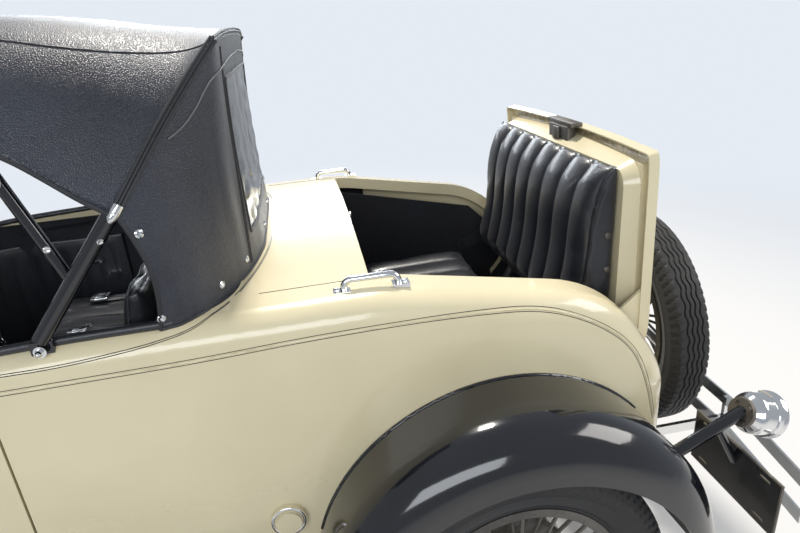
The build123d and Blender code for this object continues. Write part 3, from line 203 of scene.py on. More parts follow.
def noise(tree, vector, scale, detail=3.0, rough=0.5):
    node = tree.nodes.new("ShaderNodeTexNoise")
    node.inputs["Scale"].default_value = scale
    node.inputs["Detail"].default_value = detail
    node.inputs["Roughness"].default_value = rough
    link(tree, vector, node.inputs["Vector"])
    return node.outputs["Fac"]


FLOAT, COLOUR, VECTOR = "NodeSocketFloat", "NodeSocketColor", "NodeSocketVector"

pebble, start, end = new_group("pebble_grain", [("Vector", VECTOR, None), ("Scale", FLOAT, 900.0)],
                               [("Height", FLOAT)])
cells = pebble.nodes.new("ShaderNodeTexVoronoi")
cells.feature = "SMOOTH_F1"
cells.inputs["Smoothness"].default_value = 0.35
link(pebble, start.outputs["Vector"], cells.inputs["Vector"])
link(pebble, start.outputs["Scale"], cells.inputs["Scale"])
domed = math_node(pebble, "POWER", math_node(pebble, "SUBTRACT", 1.0, cells.outputs["Distance"]), 2.0)
link(pebble, domed, end.inputs["Height"])

mottle, start, end = new_group("mottled", [("Vector", VECTOR, None), ("Light", COLOUR, (1, 1, 1, 1)),
                                           ("Dark", COLOUR, (0, 0, 0, 1)), ("Scale", FLOAT, 4.0)],
                               [("Color", COLOUR), ("Mask", FLOAT)])
cloud = mottle.nodes.new("ShaderNodeTexNoise")
cloud.inputs["Detail"].default_value = 5
link(mottle, start.outputs["Vector"], cloud.inputs["Vector"])
link(mottle, start.outputs["Scale"], cloud.inputs["Scale"])
spread = mottle.nodes.new("ShaderNodeMapRange")
spread.inputs["From Min"].default_value, spread.inputs["From Max"].default_value = 0.35, 0.65
link(mottle, cloud.outputs["Fac"], spread.inputs["Value"])
link(mottle, mix_colours(mottle, spread.outputs["Result"], start.outputs["Dark"], start.outputs["Light"]),
     end.inputs["Color"])
link(mottle, spread.outputs["Result"], end.inputs["Mask"])

dust, start, end = new_group("road_dust", [("Vector", VECTOR, None), ("Top", FLOAT, 0.6),
                                           ("Amount", FLOAT, 0.5)], [("Mask", FLOAT)])
parts = dust.nodes.new("ShaderNodeSeparateXYZ")
link(dust, start.outputs["Vector"], parts.inputs["Vector"])
height_share = math_node(dust, "DIVIDE", parts.outputs["Z"], start.outputs["Top"])
low = math_node(dust, "SUBTRACT", 1.0, height_share, True)
specks = noise(dust, start.outputs["Vector"], 38, 6, 0.7)
streaks = noise(dust, start.outputs["Vector"], 5, 4, 0.6)
patch = math_node(dust, "MULTIPLY", math_node(dust, "MULTIPLY", low, specks), streaks)
strong = math_node(dust, "MULTIPLY", patch, 4.0)
link(dust, math_node(dust, "MULTIPLY", strong, start.outputs["Amount"], True), end.inputs["Mask"])

scratch, start, end = new_group("fine_scratches", [("Vector", VECTOR, None), ("Amount", FLOAT, 0.5)],
                                [("Mask", FLOAT)])
stretch = scratch.nodes.new("ShaderNodeMapping")
stretch.inputs["Scale"].default_value = (14, 120, 160)
stretch.inputs["Rotation"].default_value = (0.2, 0.35, 0.1)
link(scratch, start.outputs["Vector"], stretch.inputs["Vector"])
hairs = noise(scratch, stretch.outputs["Vector"], 3.2, 8, 0.75)
thin = scratch.nodes.new("ShaderNodeMapRange")
thin.inputs["From Min"].default_value, thin.inputs["From Max"].default_value = 0.64, 0.72
link(scratch, hairs, thin.inputs["Value"])
link(scratch, math_node(scratch, "MULTIPLY", thin.outputs["Result"], start.outputs["Amount"]),
     end.inputs["Mask"])


def place_group(tree, group, **values):
    node = tree.nodes.new("ShaderNodeGroup")
    node.node_tree = group
    for socket, value in values.items():
        if isinstance(value, (int, float, tuple)):
            node.inputs[socket].default_value = value
        else:
            link(tree, value, node.inputs[socket])
    return node


def object_place(tree):
    return tree.nodes.new("ShaderNodeTexCoord").outputs["Object"]


def bump(tree, height, strength, distance):
    node = tree.nodes.new("ShaderNodeBump")
    node.inputs["Strength"].default_value = strength
    node.inputs["Distance"].default_value = distance
    link(tree, height, node.inputs["Height"])
    return node.outputs["Normal"]


# The floor keeps its shadows near the car and fades into the backdrop farther away.
far_off = floor_tree.nodes.new("ShaderNodeVectorMath")
far_off.operation = "LENGTH"
link(floor_tree, object_place(floor_tree), far_off.inputs[0])
fade = floor_tree.nodes.new("ShaderNodeMapRange")
fade.interpolation_type = "SMOOTHSTEP"
fade.inputs["From Min"].default_value, fade.inputs["From Max"].default_value = 2.2, 6.5
link(floor_tree, far_off.outputs["Value"], fade.inputs["Value"])
by_camera = floor_tree.nodes.new("ShaderNodeLightPath").outputs["Is Camera Ray"]
dim, full = (tuple(c * power for c in BACKDROP[:3]) + (1,) for power in (SKY_STRENGTH, SKY_SEEN))
glow = mix_colours(floor_tree, by_camera, dim, full)
link(floor_tree, mix_colours(floor_tree, fade.outputs["Result"], (0, 0, 0, 1), glow),
     floor_shader.inputs["Emission Color"])
link(floor_tree, mix_colours(floor_tree, fade.outputs["Result"], (0.62, 0.61, 0.60, 1), (0, 0, 0, 1)),
     floor_shader.inputs["Base Color"])
floor_shader.inputs["Emission Strength"].default_value = 1.0
floor_shader.inputs["Specular IOR Level"].default_value = 0.0
print("effects", [g.name for g in bpy.data.node_groups])

# %% [markdown]
# Paint on an old car is thick, hand rubbed enamel: a colour that drifts a little, a soft ripple in the
# gloss, and dust low down. Both the cream and the black are made from this one recipe.

# %% Paints


def paint(name, light, dark, rough, dust_top, dust_amount, dust_colour, scratches=0.0, ripple=0.12):
    material, tree, shader = new_material(name)
    here = object_place(tree)
    body = place_group(tree, mottle, Vector=here, Light=light, Dark=dark, Scale=2.2)
    grime = place_group(tree, dust, Vector=here, Top=dust_top, Amount=dust_amount)
    colour = mix_colours(tree, grime.outputs["Mask"], body.outputs["Color"], dust_colour)
    roughness = math_node(tree, "ADD", rough, math_node(tree, "MULTIPLY", grime.outputs["Mask"], 0.45), True)
    if scratches:
        hair = place_group(tree, scratch, Vector=here, Amount=scratches)
        mask = hair.outputs["Mask"]
        roughness = math_node(tree, "ADD", roughness, math_node(tree, "MULTIPLY", mask, 0.3), True)
        colour = mix_colours(tree, math_node(tree, "MULTIPLY", mask, 0.18), colour, (0.5, 0.5, 0.5, 1))
    link(tree, colour, shader.inputs["Base Color"])
    link(tree, roughness, shader.inputs["Roughness"])
    link(tree, bump(tree, noise(tree, here, 34, 2), ripple, 0.0012), shader.inputs["Normal"])
    shader.inputs["Coat Weight"].default_value = 0.6
    shader.inputs["Coat Roughness"].default_value = 0.06
    return material


CREAM_LIGHT, CREAM_DARK = (0.735, 0.655, 0.44, 1), (0.665, 0.585, 0.385, 1)
DUSTY = (0.36, 0.32, 0.25, 1)
cream_paint = paint("cream_paint", CREAM_LIGHT, CREAM_DARK, 0.26, 0.75, 0.35, DUSTY, 0.12)
black_paint = paint("black_paint", (0.009, 0.010, 0.014, 1), (0.005, 0.006, 0.009, 1), 0.12, 0.62, 0.4,
                    DUSTY, 0.6)
chassis_paint = paint("chassis_paint", (0.02, 0.02, 0.022, 1), (0.01, 0.01, 0.011, 1), 0.45, 0.7, 1.1,
                      DUSTY, 0.4, 0.3)
wheel_paint = paint("wheel_paint", (0.012, 0.012, 0.014, 1), (0.007, 0.007, 0.009, 1), 0.2, 0.8, 0.7,
                    DUSTY, 0.3)
stripe_paint = paint("stripe_paint", (0.02, 0.018, 0.014, 1), (0.014, 0.012, 0.010, 1), 0.3, 0.3, 0.2, DUSTY)
OILY = (0.06, 0.05, 0.04, 1)
engine_paint = paint("engine_paint", (0.09, 0.14, 0.11, 1), (0.05, 0.08, 0.065, 1), 0.5, 1.0, 1.2,
                     OILY, 0.3, 0.5)
print("paints made")

# %% [markdown]
# Chrome is a mirror with fine wipe marks, so its roughness drifts instead of its colour.

# %% Metals


def metal(name, colour, rough, rough_more, scale, dust_amount=0.15):
    material, tree, shader = new_material(name)
    here = object_place(tree)
    wipe = place_group(tree, mottle, Vector=here, Light=(1, 1, 1, 1), Dark=(0, 0, 0, 1), Scale=scale)
    grime = place_group(tree, dust, Vector=here, Top=0.9, Amount=dust_amount)
    drift = math_node(tree, "MULTIPLY", wipe.outputs["Mask"], rough_more)
    total = math_node(tree, "ADD", math_node(tree, "ADD", rough, drift),
                      math_node(tree, "MULTIPLY", grime.outputs["Mask"], 0.4), True)
    link(tree, mix_colours(tree, grime.outputs["Mask"], colour, DUSTY), shader.inputs["Base Color"])
    link(tree, total, shader.inputs["Roughness"])
    link(tree, bump(tree, noise(tree, here, 60, 3), 0.05, 0.0006), shader.inputs["Normal"])
    shader.inputs["Metallic"].default_value = 1.0
    return material


chrome = metal("chrome", (0.80, 0.81, 0.82, 1), 0.04, 0.07, 9)
steel = metal("plated_steel", (0.55, 0.54, 0.52, 1), 0.28, 0.2, 20, 0.6)
dark_metal = metal("dark_metal", (0.16, 0.15, 0.14, 1), 0.42, 0.25, 18, 1.0)
print("metals made")

# %% [markdown]
# The top is coated cloth with a coarse pebbled face that glitters where light grazes it. The seats wear
# a smoother hide-like vinyl with a fine grain and a little dust in the folds.

# %% Vinyl, rubber and glass
SPECK = (0.45, 0.44, 0.42, 1)


def vinyl(name, light, dark, rough, grain, depth, sheen, dusty=0.15, coat=0.0):
    material, tree, shader = new_material(name)
    here = object_place(tree)
    body = place_group(tree, mottle, Vector=here, Light=light, Dark=dark, Scale=6.0)
    surface = place_group(tree, pebble, Vector=here, Scale=grain)
    wear = noise(tree, here, 12, 5, 0.65)
    height = math_node(tree, "ADD", surface.outputs["Height"], math_node(tree, "MULTIPLY", wear, 0.6))
    bright_specks = noise(tree, here, 420, 2)
    speck = math_node(tree, "MULTIPLY", math_node(tree, "GREATER_THAN", bright_specks, 0.70), dusty)
    link(tree, mix_colours(tree, speck, body.outputs["Color"], SPECK), shader.inputs["Base Color"])
    link(tree, math_node(tree, "ADD", rough, math_node(tree, "MULTIPLY", wear, 0.18), True),
         shader.inputs["Roughness"])
    link(tree, bump(tree, height, 0.6, depth), shader.inputs["Normal"])
    shader.inputs["Sheen Weight"].default_value = sheen
    shader.inputs["Sheen Roughness"].default_value = 0.5
    shader.inputs["Coat Weight"].default_value = coat
    return material


# After the two colours: roughness, grains to a metre, their depth in metres, sheen, specks and coat.
top_vinyl = vinyl("top_vinyl", (0.020, 0.024, 0.038, 1), (0.012, 0.014, 0.023, 1), 0.26, 380, 0.0018,
                  0.25, 0.25)
binding = vinyl("binding", (0.016, 0.017, 0.022, 1), (0.010, 0.010, 0.013, 1), 0.42, 900, 0.0004, 0.2, 0.1)
grey_tape = vinyl("grey_tape", (0.16, 0.165, 0.17, 1), (0.09, 0.09, 0.095, 1), 0.45, 900, 0.0004, 0.2, 0.1)
seat_vinyl = vinyl("seat_vinyl", (0.017, 0.019, 0.026, 1), (0.010, 0.011, 0.015, 1), 0.24, 1500, 0.00025,
                   0.05, 0.22, 0.25)
well_lining = vinyl("well_lining", (0.006, 0.007, 0.011, 1), (0.003, 0.003, 0.005, 1), 0.7, 700, 0.0006, 0.1)
webbing = vinyl("webbing", (0.20, 0.20, 0.21, 1), (0.13, 0.13, 0.14, 1), 0.6, 1800, 0.0004, 0.4)
rubber = vinyl("tyre_rubber", (0.022, 0.021, 0.021, 1), (0.012, 0.012, 0.013, 1), 0.55, 300, 0.0002, 0.1, 0.3)


def clear(name, tint, rough, ior, wave):
    material, tree, shader = new_material(name)
    here = object_place(tree)
    shader.inputs["Base Color"].default_value = tint
    shader.inputs["Transmission Weight"].default_value = 1.0
    shader.inputs["IOR"].default_value = ior
    link(tree, math_node(tree, "ADD", rough, math_node(tree, "MULTIPLY", noise(tree, here, 15, 4), 0.06)),
         shader.inputs["Roughness"])
    link(tree, bump(tree, noise(tree, here, 9, 3), wave, 0.004), shader.inputs["Normal"])
    return material


glass = clear("glass", (0.93, 0.96, 0.95, 1), 0.0, 1.1, 0.02)
clear_vinyl = clear("clear_vinyl", (0.97, 0.985, 0.99, 1), 0.02, 1.42, 0.10)
lens_glass = clear("lens_glass", (0.95, 0.96, 0.94, 1), 0.03, 1.3, 0.1)
red_lens = clear("red_lens", (0.75, 0.02, 0.01, 1), 0.05, 1.35, 0.1)
print("soft and clear finishes made")

# %% [markdown]
# The CAD parts whose shape is already right keep their shape and get a finish. The panels round the
# cabin, the lid, the radiator's core and the running boards get finishes of their own farther down.

# %% Finishes on the CAD parts
FINISHES = {
    cream_paint: ["hood_left", "hood_right", "filler_cap"],
    black_paint: ["front_fenders", "rear_fenders", "splash_aprons", "top_irons", "licence_bracket",
                  "spare_carrier", "steering_wheel", "steering_column", "dashboard"],
    wheel_paint: ["wheel_front_left", "wheel_front_right", "wheel_rear_left", "wheel_rear_right",
                  "spare_wheel"],
    chassis_paint: ["chassis_frame", "rear_axle", "front_axle", "leaf_springs", "driveline", "fuel_tank",
                    "knuckle_left", "knuckle_right", "tie_rod"],
    chrome: ["radiator_shell", "windscreen_frame", "front_bumper", "rear_bumper", "headlamps",
             "grab_handles", "tail_lamp"],
    dark_metal: ["exhaust"],
    engine_paint: ["engine"],
    well_lining: ["rumble_tub", "floor"],
    glass: ["windscreen_glass"],
    clear_vinyl: ["rear_window"],
    lens_glass: ["headlamp_lenses"],
}


def give_finishes(table):
    """Puts each finish on the CAD parts that its row names."""
    for finish, names in table.items():
        for name in names:
            node_mesh = NODES[name].data
            if not node_mesh.materials:
                node_mesh.materials.append(finish)
            for number in range(len(node_mesh.materials)):
                node_mesh.materials[number] = finish


give_finishes(FINISHES)
print("finished nodes", sum(len(names) for names in FINISHES.values()))

# %% [markdown]
# Helpers for the new pieces. A flat grid becomes a form when each of its points moves from its place on
# the sheet to its place on the form, and a drawn line becomes a cord when it gets a round section.

# %% Modelling helpers


def finish_piece(name, bm, material, body, angle=35.0, recalc=True):
    """Turns a bmesh into a smooth-shaded piece that rides on a body."""
    if recalc:
        bmesh.ops.remove_doubles(bm, verts=bm.verts, dist=2e-5)
        bmesh.ops.recalc_face_normals(bm, faces=bm.faces)
    mesh = bpy.data.meshes.new(name)
    bm.to_mesh(mesh)
    bm.free()
    mesh.materials.append(material)
    mesh.polygons.foreach_set("use_smooth", [True] * len(mesh.polygons))
    mesh.set_sharp_from_angle(angle=math.radians(angle))
    piece = bpy.data.objects.new(name, mesh)
    bpy.context.scene.collection.objects.link(piece)
    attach(piece, body)
    return piece


def thicken(piece, thickness, offset=0):
    """Gives a sheet its thickness, to both sides or, with -1, to its inner side."""
    body = piece.modifiers.new("thickness", "SOLIDIFY")
    body.thickness, body.offset = thickness, offset


def grid_form(bm, columns, rows, place):
    """A grid whose points go to place(u, v), with u and v from 0 to 1."""
    made = bmesh.ops.create_grid(bm, x_segments=columns, y_segments=rows, size=1)
    for vertex in made["verts"]:
        vertex.co = place((vertex.co.x + 1) / 2, (vertex.co.y + 1) / 2)


def tube(bm, points, radius, closed=False, sides=8, smooth=True):
    """A round bar along points, with closed ends, added to the bmesh."""
    curve = bpy.data.curves.new("line", "CURVE")
    curve.dimensions = "3D"
    curve.bevel_depth = radius
    curve.bevel_resolution = max(0, sides // 4 - 1)
    curve.use_fill_caps = not closed
    spline = curve.splines.new("NURBS" if smooth else "POLY")
    spline.points.add(len(points) - 1)
    for point, place in zip(spline.points, points):
        point.co = (*place, 1)
    if smooth:
        spline.order_u = 3
        spline.use_endpoint_u = True
        spline.resolution_u = 3
    spline.use_cyclic_u = closed
    holder = bpy.data.objects.new("line", curve)
    bpy.context.scene.collection.objects.link(holder)
    mesh = bpy.data.meshes.new_from_object(holder.evaluated_get(bpy.context.evaluated_depsgraph_get()))
    bm.from_mesh(mesh)
    bpy.data.objects.remove(holder)
    bpy.data.curves.remove(curve)
    bpy.data.meshes.remove(mesh)


def turned(bm, profile, centre, axis, steps=32):
    """A round piece: a profile of (distance along the axis, radius) pairs spun about that axis."""
    axis = Vector(axis).normalized()
    side = axis.orthogonal().normalized()
    points = [bm.verts.new(centre + axis * along + side * max(radius, 1e-5)) for along, radius in profile]
    edges = [bm.edges.new(pair) for pair in zip(points, points[1:])]
    bmesh.ops.spin(bm, geom=points + edges, cent=centre, axis=axis, angle=math.tau, steps=steps,
                   use_merge=True)
    bmesh.ops.remove_doubles(bm, verts=bm.verts, dist=2e-5)


def blend_line(points, t):
    """A place on a chain of points, t from 0 to 1, by the length along it."""
    lengths = [(b - a).length for a, b in zip(points, points[1:])]
    left = t * sum(lengths)
    for a, b, length in zip(points, points[1:], lengths):
        if left <= length or b is points[-1]:
            return a.lerp(b, min(1.0, left / max(length, 1e-9)))
        left -= length
    return points[-1]


def rounded_line(points, rounds=3):
    """Cuts the corners of a chain of points several times, which turns it into a smooth line."""
    line = [Vector(p) for p in points]
    for _ in range(rounds):
        cut = [line[0]]
        for a, b in zip(line, line[1:]):
            cut += [a.lerp(b, 0.25), a.lerp(b, 0.75)]
        line = cut + [line[-1]]
    return line


def surface_of(*names):
    """A search tree over CAD parts, to find the nearest place on their skin."""
    vertices, polygons = [], []
    for name in names:
        first = len(vertices)
        vertices += [v.co.copy() for v in NODES[name].data.vertices]
        polygons += [[first + i for i in polygon.vertices] for polygon in NODES[name].data.polygons]
    return BVHTree.FromPolygons(vertices, polygons)


print("helpers ready")

# %% [markdown]
# The top is coated cloth pulled over wooden bows. Its roof is one sheet: nearly flat across, falling
# steeply at the sides, with a curved lower edge over the door. Behind it a second sheet goes round the
# back from door to door, fixed to the body with snaps. Both are grids laid on the lines that were
# measured: the lines set the form, so no simulation is needed for cloth that is stretched tight.

# %% Roof of the top
TOP_CENTRE = [(514, 1670), (544, 1674), (647, 1690), (742, 1706), (861, 1727), (975, 1737), (1063, 1738),
              (1290, 1734), (1480, 1722), (1668, 1700)]
# Lower edge of the roof: up to the tip it is the seam with the quarter, and then the edge over the door.
ROOF_EDGE = [(526, 431, 1655), (570, 469, 1602), (640, 527, 1512), (700, 574, 1426), (741, 603, 1367),
             (789, 604, 1402), (832, 604, 1442), (896, 603, 1497), (1000, 600, 1546), (1200, 594, 1596),
             (1430, 575, 1622), (1668, 548, 1632)]
TOP_BOWS, QUARTER_LENGTH = (526, 958, 1303, 1650), 215
SEAM_SHARE = 0.26
CLOTH_T, CLEAR_T = 0.0022, 0.0008


def table_value(table, x):
    """A value read from a table of (x, value) rows, straight between rows."""
    if x <= table[0][0]:
        return table[0][1]
    for (x0, y0), (x1, y1) in zip(table, table[1:]):
        if x <= x1:
            return y0 + (y1 - y0) * (x - x0) / (x1 - x0)
    return table[-1][1]


seam_line = rounded_line([Vector(p) for p in ROOF_EDGE[:5]])
door_line = rounded_line([Vector(p) for p in ROOF_EDGE[4:]])


def roof_place(across, along):
    """across goes from the right edge, 0, over the roof to the left, 1; along from the back to the screen."""
    reach = 2 * across - 1
    share = abs(reach)
    if along < SEAM_SHARE:
        edge = blend_line(seam_line, along / SEAM_SHARE)
    else:
        edge = blend_line(door_line, (along - SEAM_SHARE) / (1 - SEAM_SHARE))
    past_bow = (edge.x - TOP_BOWS[0]) / QUARTER_LENGTH
    power = 3.0 + 4.6 * min(1.0, max(0.0, past_bow))
    centre_z = table_value(TOP_CENTRE, edge.x)
    # Points crowd towards the edge, where the cloth turns down.
    share = 1 - (1 - share) ** 1.5 if share < 1 else 1.0
    y = edge.y * share * math.copysign(1, reach)
    drop = share ** power
    z = centre_z + (edge.z - centre_z) * drop
    x = edge.x - 12 * (1 - share * share) * max(0.0, 1 - past_bow)
    for first, last in zip(TOP_BOWS, TOP_BOWS[1:]):
        if first < x < last:
            z -= 5.0 * math.sin(math.pi * (x - first) / (last - first)) ** 2 * (1 - drop)
            z += 1.2 * math.sin(x * 0.045 + y * 0.012) * (1 - drop) * share
    return at(x, y, z)


roof = bmesh.new()
grid_form(roof, 96, 110, roof_place)
# The pull of the cloth evens out the fold that the rule above leaves over the tip of the quarter.
fold = [v for v in roof.verts if not v.is_boundary and at(575, 0, 0).x < v.co.x < at(1020, 0, 0).x]
for _ in range(90):
    bmesh.ops.smooth_vert(roof, verts=fold, factor=0.5, use_axis_x=True, use_axis_y=True, use_axis_z=True)
roof_tree = BVHTree.FromBMesh(roof)
roof_cloth = finish_piece("roof_cloth", roof, top_vinyl, "chassis", 60)
thicken(roof_cloth, CLOTH_T, -1)
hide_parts("soft_top")

# %% [markdown]
# The quarters and the back are one strip that is ruled between the seam above and the body's rim below.
# The window is left out of the strip and a thinner, wavy clear sheet fills it.

# %% Quarters, back and window
BACK_TOP = [(0.0, (514, 0, 1668)), (0.3, (517, 236, 1665)), (0.5, (523, 392, 1659)), (0.55, (528, 431, 1651)),
            (0.66, (570, 469, 1600)), (0.79, (640, 527, 1510)), (0.91, (700, 574, 1424)),
            (1.0, (741, 603, 1365))]
BACK_FOOT = [(0.0, (506, 0)), (0.3, (508, 236)), (0.42, (524, 325)), (0.55, (545, 400)), (0.68, (583, 484)),
             (0.8, (630, 552)), (0.9, (668, 578)), (1.0, (717, 584))]
WINDOW_SHARE = 0.42
WINDOW_TOP, WINDOW_FOOT = 0.17, 0.86
BACK_COLUMNS, BACK_ROWS = 200, 56
body_skin = surface_of("rear_body", "rear_deck")


def row_of(table, share):
    for (s0, p0), (s1, p1) in zip(table, table[1:]):
        if share <= s1:
            return Vector(p0).lerp(Vector(p1), (share - s0) / (s1 - s0))
    return Vector(table[-1][1])


def smooth_row(table, share, reach=0.03):
    """The same table read five times near one place, so that its corners are soft."""
    total = None
    for step in (-2, -1, 0, 1, 2):
        value = row_of(table, min(1.0, max(0.0, abs(share + step * reach / 2))))
        total = value if total is None else total + value
    return total / 5


def foot_place(share):
    spot = smooth_row(BACK_FOOT, share)
    hit = body_skin.ray_cast(at(spot.x, spot.y, 1400), Vector((0, 0, -1)))[0]
    z = hit.z / MM if hit and hit.z > at(0, 0, 1080).z else 1120
    return Vector((spot.x, spot.y, min(z, 1152) + 2))


def back_place(across, down):
    """across goes from the right door edge, 0, round the back to the left, 1; down from bow to body."""
    reach = 2 * across - 1
    share = abs(reach)
    top, foot = smooth_row(BACK_TOP, share), foot_place(share)
    place = top.lerp(foot, down)
    place.y *= math.copysign(1, reach)
    # The door edge is hollow, and the cloth of the back sags in a little and ripples where it is loose.
    if share > 0.8:
        place.x += -22 * math.sin(math.pi * down) * (share - 0.8) / 0.2
    hollow = math.sin(math.pi * down) ** 0.8
    inward = 9 * hollow * (1 if share < 0.5 else max(0.0, 1 - (share - 0.5) / 0.3))
    place.x += inward
    ripple = 1.6 * math.sin(share * 46 + down * 5) * hollow * (0.4 + 0.6 * down)
    place.x += ripple if share < 0.6 else 0
    place.y += (ripple * 0.7 if share >= 0.6 else 0) * math.copysign(1, reach)
    return at(*place)


back = bmesh.new()
grid_form(back, BACK_COLUMNS, BACK_ROWS, back_place)
back.faces.ensure_lookup_table()
window_low = back_place(0.5, WINDOW_FOOT).z
window_high = back_place(0.5, WINDOW_TOP).z
window_half = abs(back_place((1 - WINDOW_SHARE) / 2, 0.5).y)
opening = [f for f in back.faces
           if abs(f.calc_center_median().y) < window_half
           and window_low < f.calc_center_median().z < window_high
           and f.calc_center_median().x < at(600, 0, 0).x]
bmesh.ops.delete(back, geom=opening, context="FACES")
back_tree = BVHTree.FromBMesh(back)
back_cloth = finish_piece("back_cloth", back, top_vinyl, "chassis", 60)
thicken(back_cloth, CLOTH_T, -1)


def window_place(across, down):
    share = (1 - WINDOW_SHARE) / 2 + across * WINDOW_SHARE
    place = back_place(share, WINDOW_TOP + down * (WINDOW_FOOT - WINDOW_TOP))
    wave = math.sin(down * 34 + 3 * math.sin(across * 9)) * 0.0011 + math.sin(across * 21 + down * 4) * 0.0016
    edge = min(1.0, 8 * min(across, 1 - across, down, 1 - down))
    place.x += 0.0015 + wave * edge
    return place


window = bmesh.new()
grid_form(window, 90, 90, window_place)
window_sheet = finish_piece("back_window", window, clear_vinyl, "chassis", 60)
thicken(window_sheet, CLEAR_T)
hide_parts("rear_window")

# %% [markdown]
# Every raw edge of such a top is bound with folded tape, and the seam from the rear bow to the door is
# covered by three cords of piping that end in a small metal tip. They are thin bars along the same lines.

# %% Bindings, piping, tips and snaps
PIPE_R, TAPE_R = 0.0030, 0.0042


def offset_line(points, towards, amount):
    """A line moved sideways along the surface, for cords that lie beside each other."""
    line = []
    for i, point in enumerate(points):
        ahead = points[min(i + 1, len(points) - 1)] - points[max(i - 1, 0)]
        side = ahead.cross(towards).normalized()
        line.append(point + side * amount)
    return line


def laid_on(tree, points, lift):
    """Points moved onto the nearest place of the cloth and lifted off it, away from the cabin."""
    line = []
    for point in points:
        place, normal, _, _ = tree.find_nearest(point)
        if normal.dot(place - at(1000, 0, 1300)) < 0:
            normal = -normal
        line.append(place + normal * lift)
    return line


FLAP_EDGE = [(517, 0, 1622), (520, 250, 1613), (526, 349, 1600), (538, 433, 1588), (556, 455, 1563),
             (572, 472, 1537), (589, 489, 1516), (609, 506, 1497), (631, 524, 1485)]
SIDE_SEAM = [(523, 345, 1640), (525, 345, 1522), (526, 342, 1415), (526, 345, 1299), (526, 352, 1203),
             (527, 358, 1155)]
trim, piping = bmesh.new(), bmesh.new()
for flank in (1, -1):
    edge = 1.0 if flank > 0 else 0.0
    seam = [roof_place(edge, SEAM_SHARE * i / 26) for i in range(27)]
    outward = Vector((-0.45, 0.8 * flank, 0.45)).normalized()
    for lane in (-1, 0, 1):
        line = [p + outward * 0.0025 for p in offset_line(seam, outward, lane * 0.0062)]
        tube(trim, line, PIPE_R)
    hem = [roof_place(edge, SEAM_SHARE + (1 - SEAM_SHARE) * i / 40) for i in range(41)]
    tube(trim, hem, TAPE_R)
    front_edge = [back_place(edge, i / 24) for i in range(25)]
    tube(trim, front_edge, TAPE_R)
rear_bow = [roof_place(i / 60, 0.0) for i in range(61)]
for lane in (-1, 1):
    tube(trim, [p + Vector((-0.001, 0, 0.001 + lane * 0.003)) for p in rear_bow], PIPE_R)
foot_hem = [back_place(i / 120, 1.0) for i in range(121)]
tube(trim, foot_hem, 0.0034)
ring = [window_place(i / 30, 0) for i in range(31)] + [window_place(1, i / 30) for i in range(1, 31)]
ring += [window_place(1 - i / 30, 1) for i in range(1, 31)]
ring += [window_place(0, 1 - i / 30) for i in range(1, 30)]
tube(trim, [p + Vector((-0.0015, 0, 0)) for p in ring], 0.0040, closed=True)
ROOF_SEAM = [(536, 380), (569, 388), (651, 411), (731, 446), (812, 463), (889, 470), (1100, 478), (1400, 470),
             (1655, 452)]
for flank in (1, -1):
    chain = rounded_line([at(x, y * flank, 1900) for x, y in ROOF_SEAM], 3)
    hits = [roof_tree.ray_cast(blend_line(chain, i / 70), Vector((0, 0, -1)))[0] for i in range(71)]
    tube(trim, [h + Vector((0, 0, 0.0004)) for h in hits if h], 0.0015)
    # A flap hangs from the rear bow over the quarter, and a seam joins the quarter to the back.
    flap = rounded_line([at(x, y * flank, z) for x, y, z in FLAP_EDGE], 2)
    flap = [blend_line(flap, i / 60) for i in range(61)]
    tube(piping, laid_on(back_tree, flap, 0.0016), 0.0021)
    for shift in (0.0, 9.0):
        side_seam = [at(x, (y + shift) * flank, z) for x, y, z in SIDE_SEAM]
        tube(trim, laid_on(back_tree, rounded_line(side_seam, 2), 0.0006), 0.0013, sides=6)
top_trim = finish_piece("top_bindings", trim, binding, "chassis", 50)
flap_piping = finish_piece("flap_piping", piping, grey_tape, "chassis", 50)

SNAP_PLACES = [(706, 592, 1325), (703, 594, 1141), (578, 502, 1161), (534, 390, 1174), (512, 120, 1172)]
snaps = bmesh.new()
for flank in (1, -1):
    for x, y, z in SNAP_PLACES:
        spot, normal, _, _ = back_tree.find_nearest(at(x, y * flank, z))
        if normal.dot(spot - at(1000, 0, 1300)) < 0:
            normal = -normal
        turned(snaps, [(0, 0.0088), (0.0022, 0.0086), (0.0034, 0.0066), (0.0016, 0.0046), (0.0030, 0.0040),
                       (0.0052, 0.0026), (0.0056, 0.0)], spot, normal, 20)
    tip = roof_place(1.0 if flank > 0 else 0.0, SEAM_SHARE)
    before = roof_place(1.0 if flank > 0 else 0.0, SEAM_SHARE - 0.02)
    way = (tip - before).normalized()
    turned(snaps, [(-0.024, 0.0), (-0.024, 0.0105), (-0.010, 0.0108), (0.004, 0.0090), (0.013, 0.0045),
                   (0.015, 0.0)], tip + Vector((0, 0.002 * flank, 0)), way, 24)
    turned(snaps, [(0, 0.0040), (0.0016, 0.0036), (0.0022, 0.0020), (0.0014, 0.0)],
           tip - way * 0.010 + Vector((0, 0.0122 * flank, 0)), (0, flank, 0), 16)
top_snaps = finish_piece("top_snaps", snaps, chrome, "chassis", 40)
print("bindings", len(top_trim.data.polygons), "snaps", len(top_snaps.data.polygons))

# %% [markdown]
# Inside the cabin the body's sheet is lined with dark cloth, so the cream paint hands over to the lining
# a little way in from the outer skin. The place decides it, so the CAD mesh keeps one slot.

# %% Lined body panels
SKIN_Y, TAPER_FROM, TAPER_SLOPE = 0.605, at(1420, 0, 0).x, 135 / 430


